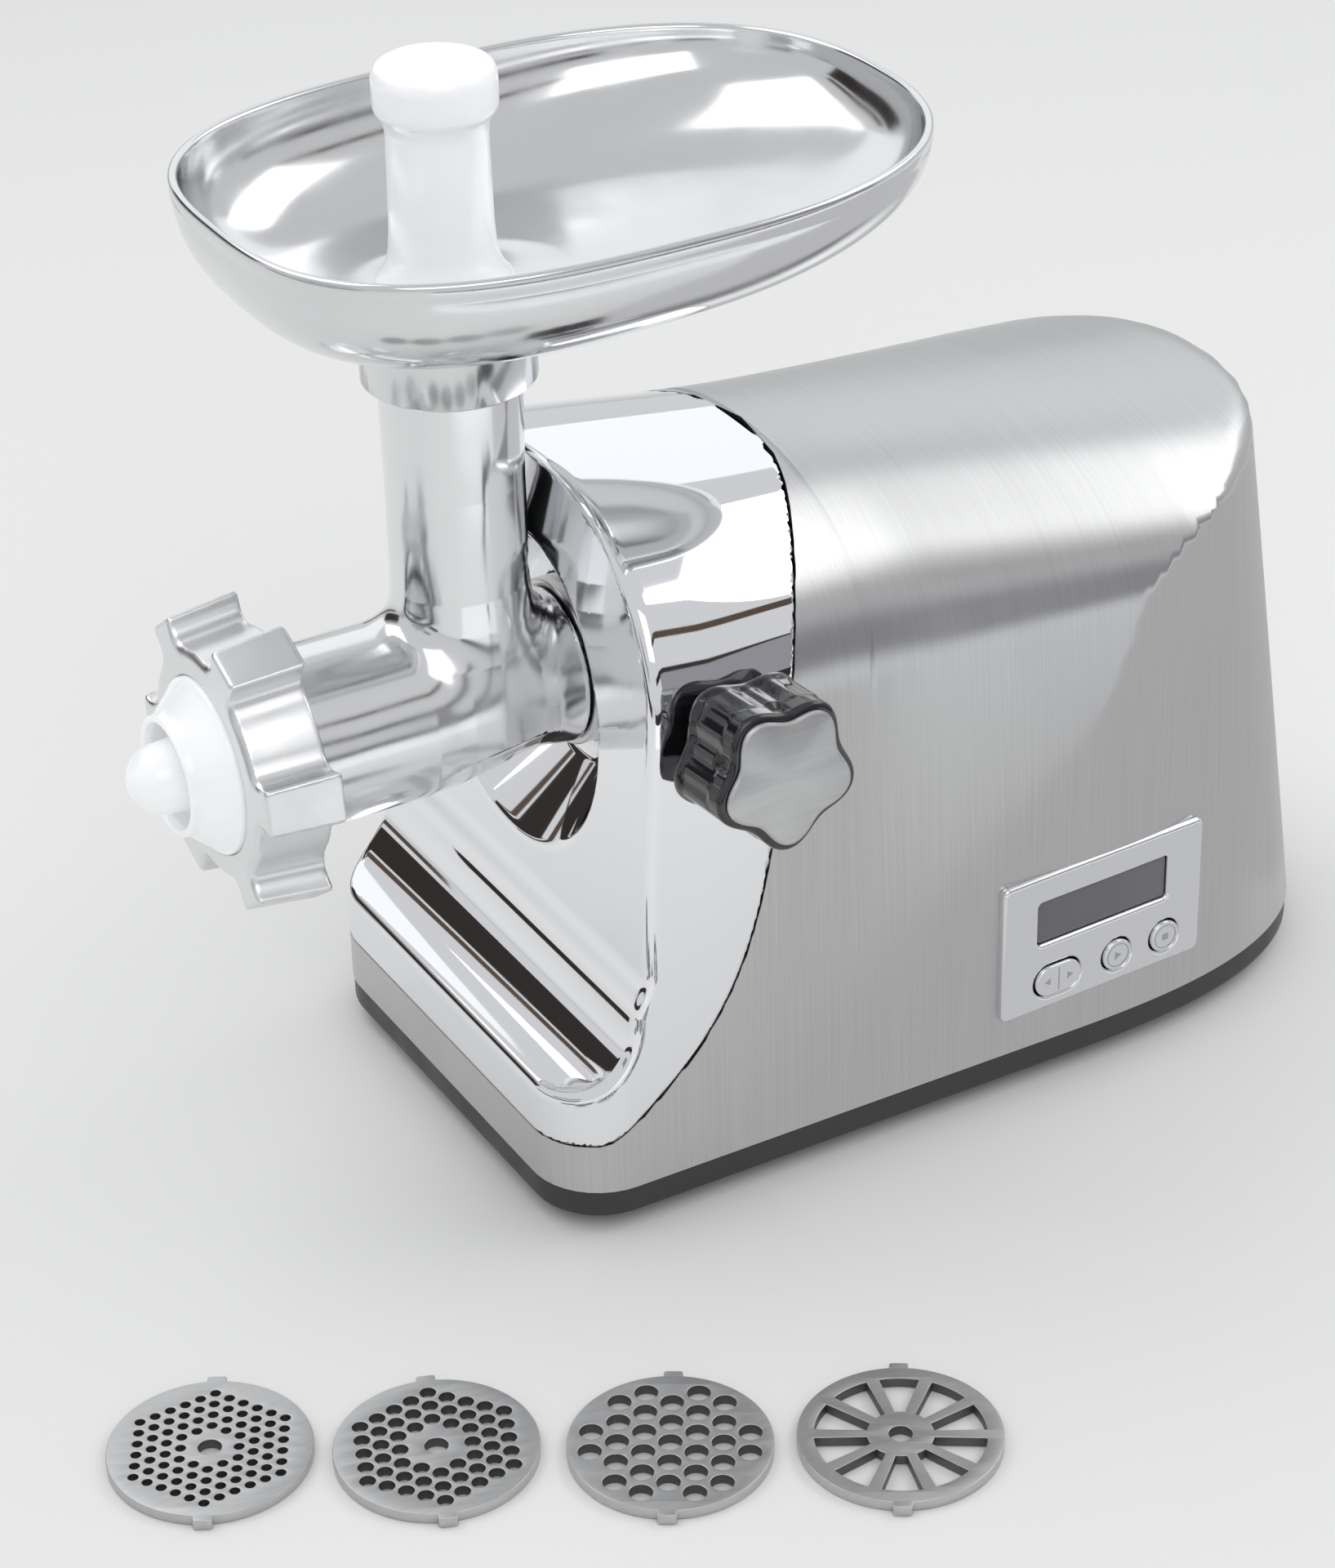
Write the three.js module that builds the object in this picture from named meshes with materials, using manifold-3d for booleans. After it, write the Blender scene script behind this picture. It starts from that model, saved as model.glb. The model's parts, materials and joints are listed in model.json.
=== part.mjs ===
// Electric meat grinder with a detachable cast head, hopper tray, pusher, kubbe attachment and
// four loose grinding plates.  Millimetres, +Z up, head towards -Y, control panel towards +X.
import * as THREE from 'three';
import { mergeVertices } from 'three/addons/utils/BufferGeometryUtils.js';
import Module from 'manifold-3d';

const wasm = await Module();
wasm.setup();

// ---------------------------------------------------------------- driving dimensions
const gap = 0.3;                    // clearance between touching pieces
const [fine, medium, coarse] = [24, 16, 10];    // facets round large, middling and small turned pieces

// housing
const bodyHalfWidth = 85.4;
const bodyLength = 314;             // at the foot of the shell
const cornerRadius = 24;            // front corners in plan
const tailStart = 180;              // where the plan starts to round towards the rear
const tailPowerLow = 2.8;           // fullness of the rear corners at the foot
const tailPowerHigh = 2.2;          // and at the roof
const tailDraft = 0.12;             // the rear wall leans forward by this much per mm of height
const roofFront = 232;              // roof height at roofFrontY
const roofFrontY = 46;
const roofFall = 0.135;
const roofCurve = 0.000096;
const springHeight = 166;           // where the arched roof starts
const archPower = 2.25;
const sideLean = 0.05;              // lean of the upper side wall above the crease
const shellWall = 1.5;
const fasciaWall = 2.5;
const seamHeight = 15.5;            // shell meets base
const footHeight = 5.8;
const baseWall = 3.5;
const baseFloor = 2.5;
const baseLip = 6;

// front fascia
const troughRadius = 25;            // hollow across the foot of the front panel
const lipHeight = 51;
const toeSeamHeight = 33;
const panelLeanStart = 115;
const recessRadius = 55;
const recessFloorY = 54;

// grinding head
const headHeight = 156.2;           // axis of the barrel above the table
const barrelRadius = 28.7;
const barrelBore = 24.6;
const headFront = -70;
const collarY = 46;                 // rear face of the barrel
const spigotRadius = 22;
const spigotLength = 36;
const tubeY = 15;                   // axis of the hopper tube
const tubeTopRadius = 22.2;
const tubeRootRadius = 21.1;
const tubeBore = 18.9;
const tubeTop = 283;
const plateRadius = 31;
const plateThickness = 3.4;
const loosePlateRadius = 30.4;
const earWidth = 5.7;
const earReach = 2.2;               // of each ear beyond the rim of a plate
const plateBore = 3.5;
const slotCount = 10;
const slotInner = 10;
const slotOuter = 25.4;
const slotHalfAngle = 0.235;
const threadRadius = 34;            // outside of the threaded nose of the barrel
const threadStart = -52;
const lugCount = 6;
const lugReach = 47.6;
const lugTaper = 2.6;               // shorter by this much at the front end
const lugAngle = THREE.MathUtils.degToRad(6.4);
const lugHalfRoot = 0.145;          // half angles of a lug where it leaves the ring and at its tip
const lugHalfTip = 0.19;
const ringFront = -73.5;
const ringRear = -49.3;
const ringLipBore = 28.2;

// auger and drive
const augerCore = 11;
const augerPitch = 24;
const driveFlats = 12;              // hexagon across flats
const hexClearance = 0.35;

// tray and pusher
const trayRimHeight = 328;
const trayHalfWidth = 81.5;
const trayCentreY = 58;
const trayFront = 115.5;            // rim centre to front end
const trayBack = 108.5;             // rim centre to rear end
const trayPower = 2.45;
const trayFrontPower = 2.9;         // the front corners are fuller
const trayDepth = 36;
const trayWall = 2.2;
const collarWall = 4.4;
const collarDrop = 23;
const pusherCapTop = 362.5;
const pusherCapRadius = 18;
const pusherNeckRadius = 15.3;
const pusherFlangeRadius = 20.6;

// control panel
const panelWidth = 81;
const panelHeight = 51;
const panelCentreY = 198.7;
const panelCentreZ = 55;
const windowWidth = 52.5;
const windowHeight = 16;
const windowRise = 7.5;
const buttonDrop = 15.2;
const buttonRadius = 6;
const pillWidth = 19;
const pillHeight = 12;
const buttonPlaces = [6.2, 25.8];
const pillPlace = -18;

// clamp knob
const clampY = 61;
const clampTilt = THREE.MathUtils.degToRad(6.3);
const clampScrewRadius = 4;
const bushEnd = 86;                 // measured along the screw from the barrel axis
const knobStart = 91;
const knobLength = 26;
const knobRadius = 24.2;
const knobLobes = 5;
const knobValley = 0.82;            // radius between the lobes as a share of the lobe radius
const screwGrip = 12;               // length of the screw inside the knob
const capRadius = 21.8;
const capValley = 0.8;
const capThickness = 1.5;

// gearbox and motor
const motorHeight = 80;
const gearboxFront = 90;
const gearModules = [1.25, 1.5, 2];
const gearPairs = [[10, 40], [11, 38], [12, 36]];
const gearWidths = [8, 10, 13];
const firstAxisX = -22;
const caseWall = 3;
const motorRadius = 37;
const rearClearance = 76;           // from the end of the motor to the tail of the housing
const shaftRadius = 4;

// ---------------------------------------------------------------- finishes
const finish = (color, metalness, roughness) =>
  new THREE.MeshStandardMaterial({ color, metalness, roughness });
const steel = finish(0xc4c4c8, 1, 0.35);
const chrome = finish(0xe8e8ea, 1, 0.05);
const castAluminium = finish(0xd4d5d7, 1, 0.22);
const blackPlastic = finish(0x222224, 0, 0.35);
const whitePlastic = finish(0xf4f5f7, 0, 0.25);
const rubber = finish(0x1a1a1a, 0, 0.85);
const darkGlass = finish(0x6e7072, 0.1, 0.15);
const boardGreen = finish(0x1f5a38, 0, 0.5);
const copper = finish(0xb87333, 1, 0.35);
const nylon = finish(0xe6e0cf, 0, 0.5);
const plateSteel = finish(0x9c9ca0, 1, 0.4);
const bronze = finish(0xa9803d, 1, 0.35);
const greyPlastic = finish(0x4a4b4e, 0, 0.5);

// ---------------------------------------------------------------- solids
const group = new THREE.Group();

function closedGeometry(source) {
  const plain = source.clone();
  plain.deleteAttribute('normal');
  plain.deleteAttribute('uv');
  const merged = mergeVertices(plain, 1e-4);
  const corners = merged.index.array;
  const kept = [];
  for (let i = 0; i < corners.length; i += 3) {
    const [a, b, c] = [corners[i], corners[i + 1], corners[i + 2]];
    if (a !== b && b !== c && c !== a) kept.push(a, b, c);
  }
  merged.setIndex(kept);
  if (signedVolume(merged) < 0) merged.setIndex(kept.reverse());
  return merged;
}

function signedVolume(geometry) {
  const place = geometry.attributes.position;
  const corners = geometry.index.array;
  const [a, b, c] = [new THREE.Vector3(), new THREE.Vector3(), new THREE.Vector3()];
  let sum = 0;
  for (let i = 0; i < corners.length; i += 3) {
    a.fromBufferAttribute(place, corners[i]);
    b.fromBufferAttribute(place, corners[i + 1]);
    c.fromBufferAttribute(place, corners[i + 2]);
    sum += a.dot(b.cross(c));
  }
  return sum / 6;
}

function solid(geometry) {
  const closed = closedGeometry(geometry);
  return new wasm.Manifold(new wasm.Mesh({
    numProp: 3,
    vertProperties: new Float32Array(closed.attributes.position.array),
    triVerts: new Uint32Array(closed.index.array),
  }));
}

function geometryOf(manifold) {
  const mesh = manifold.getMesh();
  const geometry = new THREE.BufferGeometry();
  geometry.setAttribute('position', new THREE.BufferAttribute(mesh.vertProperties, 3));
  geometry.setIndex(new THREE.BufferAttribute(mesh.triVerts, 1));
  return geometry;
}

function add(name, shape, material, parent = group) {
  const geometry = shape.isBufferGeometry ? closedGeometry(shape) : geometryOf(shape);
  const mesh = new THREE.Mesh(geometry, material);
  mesh.name = name;
  parent.add(mesh);
  return mesh;
}

const joined = (...shapes) => shapes.reduce((whole, piece) => whole.add(piece));
const cut = (whole, ...tools) => tools.reduce((rest, tool) => rest.subtract(tool), whole);
const vector = (x, y) => new THREE.Vector2(x, y);

// a box given by its lowest and highest corners
function block(low, high) {
  const size = low.map((value, i) => high[i] - value);
  const geometry = new THREE.BoxGeometry(...size);
  return solid(geometry.translate(...low.map((value, i) => value + size[i] / 2)));
}

// turned piece: profile of [radius, place along the axis], about a line through (x, z) or (x, y)
function turned(profile, axis, segments, at = [0, 0]) {
  const geometry = new THREE.LatheGeometry(profile.map(([r, h]) => vector(r, h)), segments);
  if (axis === 'z') geometry.rotateX(Math.PI / 2).translate(at[0], at[1], 0);
  else geometry.translate(at[0], 0, at[1]);
  return solid(geometry);
}
const rod = (radius, from, to, axis, segments, at) =>
  turned([[0, from], [radius, from], [radius, to], [0, to]], axis, segments, at);
const tube = (outer, inner, from, to, axis, segments, at) =>
  turned([[inner, from], [outer, from], [outer, to], [inner, to], [inner, from]], axis, segments, at);

// prism of an outline in the side view (y, z), across the width
function sidePrism(points, from, to) {
  const shape = new THREE.Shape(points.map(([y, z]) => vector(y, z)));
  const geometry = new THREE.ExtrudeGeometry(shape, { depth: to - from, bevelEnabled: false });
  const basis = new THREE.Matrix4().makeBasis(
    new THREE.Vector3(0, 1, 0), new THREE.Vector3(0, 0, 1), new THREE.Vector3(1, 0, 0));
  return solid(geometry.applyMatrix4(basis).translate(from, 0, 0));
}

// prism of a THREE.Shape in the front view (x, z), from the first y to the second
function frontPrism(shape, from, to, segments = 4) {
  const options = { depth: to - from, bevelEnabled: false, curveSegments: segments };
  const geometry = new THREE.ExtrudeGeometry(shape, options);
  return solid(geometry.rotateX(Math.PI / 2).translate(0, to, 0));
}

// prism of a THREE.Shape in plan (x, y)
function planPrism(shape, from, to, segments = 6) {
  const options = { depth: to - from, bevelEnabled: false, curveSegments: segments };
  return solid(new THREE.ExtrudeGeometry(shape, options).translate(0, 0, from));
}

// closed skin through rings of equal length, with flat ends
function loft(rings) {
  const count = rings[0].length;
  const places = rings.flat().flatMap((p) => [p.x, p.y, p.z]);
  const faces = [];
  for (let r = 0; r < rings.length - 1; r += 1) {
    for (let i = 0; i < count; i += 1) {
      const next = (i + 1) % count;
      const [a, b, c, d] = [r * count + i, r * count + next, (r + 1) * count + next, (r + 1) * count + i];
      faces.push(a, b, c, a, c, d);
    }
  }
  const last = (rings.length - 1) * count;
  for (const triangle of endTriangles(rings[0])) faces.push(triangle[0], triangle[2], triangle[1]);
  for (const triangle of endTriangles(rings[rings.length - 1])) faces.push(...triangle.map((i) => last + i));
  const geometry = new THREE.BufferGeometry();
  geometry.setAttribute('position', new THREE.Float32BufferAttribute(places, 3));
  geometry.setIndex(faces);
  return solid(geometry);
}

function endTriangles(ring) {
  const spans = ['x', 'y', 'z'].map((axis) => {
    const values = ring.map((p) => p[axis]);
    return [axis, Math.max(...values) - Math.min(...values)];
  });
  const flat = spans.sort((a, b) => b[1] - a[1]).slice(0, 2).map(([axis]) => axis).sort();
  const outline = ring.map((p) => vector(p[flat[0]], p[flat[1]]));
  const clockwise = THREE.ShapeUtils.isClockWise(outline);
  const order = clockwise ? outline.slice().reverse() : outline;
  const index = (i) => (clockwise ? outline.length - 1 - i : i);
  return THREE.ShapeUtils.triangulateShape(order, []).map((triangle) => {
    const turned3 = triangle.map(index);
    return clockwise ? turned3.reverse() : turned3;
  });
}

function circleShape(radius, x = 0, y = 0) {
  const shape = new THREE.Shape();
  shape.absarc(x, y, radius, 0, Math.PI * 2, false);
  return shape;
}

function polygonShape(sides, radius, x = 0, y = 0, turn = 0) {
  const corner = (i) => {
    const angle = turn + (i * 2 * Math.PI) / sides;
    return vector(x + radius * Math.cos(angle), y + radius * Math.sin(angle));
  };
  return new THREE.Shape(Array.from({ length: sides }, (_, i) => corner(i)));
}

function roundedRectangle(width, height, radius, x = 0, y = 0) {
  const shape = new THREE.Shape();
  const [left, right, low, high] = [x - width / 2, x + width / 2, y - height / 2, y + height / 2];
  shape.moveTo(left + radius, low);
  shape.lineTo(right - radius, low);
  shape.absarc(right - radius, low + radius, radius, -Math.PI / 2, 0, false);
  shape.lineTo(right, high - radius);
  shape.absarc(right - radius, high - radius, radius, 0, Math.PI / 2, false);
  shape.lineTo(left + radius, high);
  shape.absarc(left + radius, high - radius, radius, Math.PI / 2, Math.PI, false);
  shape.lineTo(left, low + radius);
  shape.absarc(left + radius, low + radius, radius, Math.PI, Math.PI * 1.5, false);
  return shape;
}

// ---------------------------------------------------------------- form of the housing
const tailEnd = (z) => bodyLength - tailDraft * (z - seamHeight);
const tailPower = (z) => THREE.MathUtils.mapLinear(z, seamHeight, roofFront, tailPowerLow, tailPowerHigh);

// half of the plan outline at one height, from the front centre to the tail centre
function planHalf(z, inset) {
  const points = [];
  const radius = cornerRadius - inset;
  const half = bodyHalfWidth - inset;
  const cornerSteps = 4;
  for (let i = 0; i <= cornerSteps; i += 1) {
    const angle = -Math.PI / 2 + (i / cornerSteps) * (Math.PI / 2);
    const x = bodyHalfWidth - cornerRadius + radius * Math.cos(angle);
    points.push(vector(x, cornerRadius + radius * Math.sin(angle)));
  }
  const tailSteps = 8;
  const power = tailPower(z);
  const reach = tailEnd(z) - inset - tailStart;
  for (let i = 0; i < tailSteps; i += 1) {
    const angle = (i / tailSteps) * (Math.PI / 2);
    const x = half * Math.cos(angle) ** (2 / power);
    points.push(vector(x, tailStart + reach * Math.sin(angle) ** (2 / power)));
  }
  points.push(vector(0, tailStart + reach));
  return points;
}

function planRing(z, inset) {
  const right = planHalf(z, inset);
  const left = right.slice(0, -1).reverse().map((p) => vector(-p.x, p.y));
  return right.concat(left).map((p) => new THREE.Vector3(p.x, p.y, z));
}

const walls = (from, to, inset) => loft([planRing(from, inset), planRing(to, inset)]);

const roofHeight = (y) => roofFront - roofFall * (y - roofFrontY) + roofCurve * (y - roofFrontY) ** 2;

// height of the crease where the leaning upper side leaves the upright wall
const creaseHeight = (y) => 27 + 0.58 * (y - 50) + 0.00095 * Math.max(0, y - 50) ** 2;
const leanAt = (y) => sideLean * THREE.MathUtils.smoothstep(y, 55, 140);

function archRing(y, inset) {
  const half = bodyHalfWidth - inset;
  const top = roofHeight(y) - inset;
  const crease = Math.min(creaseHeight(y), springHeight - 1);
  const width = (z, full) => full * (1 - (leanAt(y) * Math.max(0, z - crease)) / bodyHalfWidth);
  const right = [vector(half, -20), vector(half, crease), vector(width(springHeight, half), springHeight)];
  const steps = 8;
  for (let i = 1; i < steps; i += 1) {
    const angle = (i / steps) * (Math.PI / 2);
    const z = springHeight + (top - springHeight) * Math.sin(angle) ** (2 / archPower);
    right.push(vector(width(z, half * Math.cos(angle) ** (2 / archPower)), z));
  }
  const left = right.slice().reverse().map((p) => vector(-p.x, p.y));
  return [...right, vector(0, top), ...left].map((p) => new THREE.Vector3(p.x, y, p.y));
}

function archPrism(inset) {
  const stations = [-5, 60, 100, 140, 180, 210, 240, bodyLength + 10];
  return loft(stations.map((y) => archRing(y, inset)));
}

// y of the front face at a height: a lip, a quarter-round trough, then a panel that leans back
const panelFace = (z) => 29.8 + 0.024 * (z - panelLeanStart) + 0.000566 * (z - panelLeanStart) ** 2;

function frontLimit(inset) {
  const troughCentre = lipHeight + troughRadius;
  const points = [[bodyLength + 20, -20], [inset, -20], [inset, lipHeight - inset]];
  const troughSteps = 5;
  for (let i = 1; i <= troughSteps; i += 1) {
    const angle = (i / troughSteps) * (Math.PI / 2);
    const reach = troughRadius + inset;
    points.push([reach * Math.sin(angle), troughCentre - reach * Math.cos(angle)]);
  }
  const panelSteps = 4;
  for (let i = 1; i <= panelSteps; i += 1) {
    const z = troughCentre + 14 + ((250 - troughCentre - 14) * i) / panelSteps;
    points.push([panelFace(z) + inset, z]);
  }
  points.push([bodyLength + 20, 250]);
  return sidePrism(points, -bodyHalfWidth - 5, bodyHalfWidth + 5);
}

const wholeBody = (inset) =>
  walls(-10, 250, inset).intersect(archPrism(inset)).intersect(frontLimit(inset));

const outerBody = wholeBody(0);

// side view of the seam between fascia and shell, from the toe up over the roof
function seamLine(shift) {
  const curve = new THREE.SplineCurve([
    vector(20, 36.5), vector(48, 61), vector(65, 90), vector(76, 130),
    vector(84.5, 181), vector(97, 208), vector(119, 226), vector(150, 240),
  ]);
  const points = curve.getPoints(12).map((p) => [p.x + shift, p.y - shift * 0.2]);
  const toe = toeSeamHeight - shift;
  return [[-10, toe], [8, toe], ...points, [points.at(-1)[0], 260], [-10, 260]];
}
const fasciaZone = (shift) => sidePrism(seamLine(shift), -bodyHalfWidth - 6, bodyHalfWidth + 6);

// ---------------------------------------------------------------- clamp direction
const clampTurn = new THREE.Matrix4().makeRotationY(Math.PI / 2 - clampTilt);
clampTurn.setPosition(0, clampY, headHeight);
function clampPiece(profile, segments) {
  const geometry = new THREE.LatheGeometry(profile.map(([r, h]) => vector(r, h)), segments);
  return solid(geometry.rotateX(Math.PI / 2).applyMatrix4(clampTurn));
}
const clampRod = (radius, from, to, segments = coarse) =>
  clampPiece([[0, from], [radius, from], [radius, to], [0, to]], segments);

// ---------------------------------------------------------------- panel frame
const panelHalfChord = panelWidth / 2;
const planX = (y) => {
  const power = tailPower(panelCentreZ);
  const share = Math.max(0, y - tailStart) / (tailEnd(panelCentreZ) - tailStart);
  return bodyHalfWidth * (1 - share ** power) ** (1 / power);
};
const frontX = planX(panelCentreY - panelHalfChord);
const rearX = planX(panelCentreY + panelHalfChord);
const panelTurn = Math.atan2(frontX - rearX, panelWidth);
const panelBasis = new THREE.Matrix4().makeBasis(
  new THREE.Vector3(-Math.sin(panelTurn), Math.cos(panelTurn), 0),
  new THREE.Vector3(0, 0, 1),
  new THREE.Vector3(Math.cos(panelTurn), Math.sin(panelTurn), 0));
panelBasis.setPosition((frontX + rearX) / 2, panelCentreY, panelCentreZ);
const panelFaceOut = 2.6;

// prism of a shape drawn on the panel (along the wall, up), between two distances out of the wall
function panelPrism(shape, from, to, segments = 5) {
  const options = { depth: to - from, bevelEnabled: false, curveSegments: segments };
  const geometry = new THREE.ExtrudeGeometry(shape, options).translate(0, 0, from);
  return solid(geometry.applyMatrix4(panelBasis));
}

// ---------------------------------------------------------------- housing pieces
function fascia() {
  const cupWall = 2.5;
  const sleeveHole = sleeveRadius + gap;
  const faceY = panelFace(headHeight);
  const cup = turned([
    [0, faceY + 1], [recessRadius + cupWall, faceY + 1],
    [sleeveHole + 6 + cupWall, recessFloorY + cupWall], [0, recessFloorY + cupWall],
  ], 'y', medium, [0, headHeight]);
  const cone = turned([
    [0, -20], [recessRadius + 3, -20], [recessRadius + 3, faceY - 2.6],
    [sleeveHole + 6, recessFloorY], [0, recessFloorY],
  ], 'y', medium, [0, headHeight]);
  const shellPart = outerBody.intersect(fasciaZone(0)).subtract(wholeBody(fasciaWall));
  const withCup = shellPart.add(cup.intersect(outerBody));
  return cut(withCup, cone, rod(sleeveHole, 0, 80, 'y', fine, [0, headHeight]),
    clampRod(bushRadius + gap, 20, 120));
}

function shell() {
  const panelOpening = panelPrism(
    roundedRectangle(panelWidth + 2 * gap, panelHeight + 2 * gap, 2.5), -6, 8, 2);
  const slots = [];
  for (let i = -2; i <= 2; i += 1) {
    slots.push(block([i * 14 - 4, bodyLength - 60, 58], [i * 14 + 4, bodyLength + 10, 62]));
  }
  const glandHole = rod(glandRadius + gap, bodyLength - 40, bodyLength + 10, 'y', coarse, [glandX, glandZ]);
  const foot = block([-120, -20, -30], [120, bodyLength + 30, seamHeight + gap]);
  return cut(outerBody, wholeBody(shellWall), fasciaZone(gap), foot, panelOpening, glandHole, ...slots);
}

const glandRadius = 7;
const glandX = -40;
const glandZ = 36;
const footPlaces = [[-62, 38], [62, 38], [-58, 232], [58, 232]];
const footNames = ['front_left', 'front_right', 'rear_left', 'rear_right'];
const screwInset = 16;              // each base screw sits this much nearer the middle than its foot
const screwPlace = ([x, y]) => [x - Math.sign(x) * screwInset, y];

function baseTray() {
  const lipInset = shellWall + gap;
  const outer = walls(footHeight, seamHeight, 0.4);
  const lip = walls(seamHeight - 2, seamHeight + baseLip, lipInset);
  const hollow = walls(footHeight + baseFloor, seamHeight + baseLip + 1, baseWall + 0.4);
  const slots = [];
  for (let i = 0; i < 6; i += 1) {
    slots.push(block([-24, 196 + i * 12, 0], [24, 201 + i * 12, footHeight + baseFloor + 1]));
  }
  const stems = footPlaces.map(([x, y]) => rod(3.3, 0, 20, 'z', coarse, [x, y]));
  const holes = footPlaces.map((place) => rod(2.3, 0, 20, 'z', coarse, screwPlace(place)));
  return cut(joined(outer, lip), hollow, ...slots, ...stems, ...holes);
}

function foot(x, y) {
  const top = footHeight - gap;
  const stemTop = top + 5;
  const profile = [[0, 0], [8, 0], [9, 1.2], [9, top], [3, top], [3, stemTop], [0, stemTop]];
  return turned(profile, 'z', coarse, [x, y]);
}

function baseScrew(x, y) {
  const head = footHeight - gap;
  return turned([[0, head - 2], [3.6, head - 2], [3.6, head], [2, head], [2, head + 14], [0, head + 14]],
    'z', coarse, [x, y]);
}

// chassis plate that carries gearbox and motor, with bosses for the base screws
const chassisLow = footHeight + baseFloor + gap;
function chassis() {
  const plate = block([-52, 84, chassisLow + 4], [52, motorEnd + 8, chassisLow + 7]);
  const postTop = motorHeight - motorRadius + 6;
  const post = (y, width) => block([-width, y, chassisLow + 6], [width, y + 4, postTop]);
  const boss = (x, y) => rod(6, chassisLow, chassisLow + 14, 'z', coarse, [x, y]);
  const strip = (y) => block([-52, y - 7, chassisLow + 4], [52, y + 7, chassisLow + 7]);
  const spine = block([-14, footPlaces[0][1] - 7, chassisLow + 4], [14, 90, chassisLow + 7]);
  const places = footPlaces.map(screwPlace);
  const motorSpace = rod(motorRadius + gap, 60, 300, 'y', medium, [0, motorHeight]);
  const holes = places.map(([x, y]) => rod(2.3, 0, 60, 'z', coarse, [x, y]));
  const whole = joined(plate, spine, strip(footPlaces[0][1]), strip(footPlaces[2][1]),
    post(caseBack + 12, 20), post(motorEnd - 14, 20), ...places.map(([x, y]) => boss(x, y)));
  return cut(whole, motorSpace, ...holes);
}

// ---------------------------------------------------------------- gear train
const pitchRadius = (stage, end) => (gearModules[stage] * gearPairs[stage][end]) / 2;
const centreDistance = (stage) => pitchRadius(stage, 0) + pitchRadius(stage, 1) + 0.15;

const motorAxis = vector(0, motorHeight);
const outputAxis = vector(0, headHeight);
const firstAxis = vector(firstAxisX, motorHeight + Math.sqrt(centreDistance(0) ** 2 - firstAxisX ** 2));

// the second countershaft lies where both its centre distances are met
function meetingPoint(a, ra, b, rb, side) {
  const apart = a.distanceTo(b);
  const along = (ra * ra - rb * rb + apart * apart) / (2 * apart);
  const across = Math.sqrt(Math.max(0, ra * ra - along * along));
  const way = b.clone().sub(a).divideScalar(apart);
  return a.clone().addScaledVector(way, along).add(vector(-way.y, way.x).multiplyScalar(side * across));
}
const secondAxis = meetingPoint(firstAxis, centreDistance(1), outputAxis, centreDistance(2), -1);

const caseFront = gearboxFront;
const thirdPlane = caseFront + caseWall + 3;
const secondPlane = thirdPlane + gearWidths[2] + 2;
const firstPlane = secondPlane + gearWidths[1] + 2;
const caseBack = firstPlane + gearWidths[0] + 3;
const coverBack = caseBack + gap + 3.5;
const motorStart = coverBack + gap;
const motorEnd = bodyLength - rearClearance;

// outline of a spur gear: straight-flanked teeth with backlash
function gearShape(module, teeth, phase, bore = 0) {
  const pitch = (module * teeth) / 2;
  const [root, tip] = [pitch - 1.15 * module, pitch + 0.85 * module];
  const step = (2 * Math.PI) / teeth;
  const points = [];
  for (let i = 0; i < teeth; i += 1) {
    for (const [share, radius] of [[-0.33, root], [-0.13, tip], [0.13, tip], [0.33, root]]) {
      const angle = phase + (i + share) * step;
      points.push(vector(radius * Math.cos(angle), radius * Math.sin(angle)));
    }
  }
  const shape = new THREE.Shape(points);
  if (bore) shape.holes.push(new THREE.Path().absarc(0, 0, bore, 0, Math.PI * 2, true));
  return shape;
}

function gear(stage, end, at, phase, from, bore = 0) {
  const width = gearWidths[stage];
  const shape = gearShape(gearModules[stage], gearPairs[stage][end], phase, bore);
  return frontPrism(shape, from, from + width, 5).translate(at.x, 0, at.y);
}

// turn of a driven gear so that a gap of it faces the tooth of its driver
function meshPhase(driver, driverTeeth, driverPhase, driven, drivenTeeth) {
  const angle = Math.atan2(driven.y - driver.y, driven.x - driver.x);
  const turns = ((angle - driverPhase) * driverTeeth) / (2 * Math.PI);
  const behind = turns - Math.floor(turns);
  return angle + Math.PI + ((behind + 0.5) * 2 * Math.PI) / drivenTeeth;
}
const phases = { pinion: 0 };
phases.firstWheel = meshPhase(motorAxis, gearPairs[0][0], phases.pinion, firstAxis, gearPairs[0][1]);
phases.secondWheel = meshPhase(firstAxis, gearPairs[1][0], 0, secondAxis, gearPairs[1][1]);
phases.outputWheel = meshPhase(secondAxis, gearPairs[2][0], 0, outputAxis, gearPairs[2][1]);

// the gearbox casting follows its wheels: one round room for each, and one for the motor pinion
const gearRooms = [
  [motorAxis, 11.5],
  [firstAxis, pitchRadius(0, 1) + gearModules[0] + 1.5],
  [secondAxis, pitchRadius(1, 1) + gearModules[1] + 1.5],
  [outputAxis, pitchRadius(2, 1) + gearModules[2] + 1.5],
];
const roomsJoined = (extra, from, to) => joined(...gearRooms.map(([axis, radius]) =>
  rod(radius + extra, from, to, 'y', fine, [axis.x, axis.y])));
const shaftHole = (axis, radius, segments = coarse) =>
  rod(radius, caseFront - 5, coverBack + 5, 'y', segments, [axis.x, axis.y]);

function gearboxCase() {
  const outer = roomsJoined(caseWall, caseFront, caseBack);
  const inner = roomsJoined(0, caseFront + caseWall, caseBack + 1);
  return cut(outer, inner, shaftHole(outputAxis, outputBushRadius + gap, medium),
    shaftHole(firstAxis, shaftRadius + gap), shaftHole(secondAxis, shaftRadius + gap));
}

function gearboxCover() {
  const plate = roomsJoined(caseWall, caseBack + gap, coverBack);
  return cut(plate, ...[firstAxis, secondAxis, outputAxis, motorAxis].map((axis) =>
    shaftHole(axis, shaftRadius + gap)));
}

const outputRadius = 11;
const outputBushRadius = 14;
const outputReach = 22;             // of the drive socket ahead of the gearbox

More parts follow.
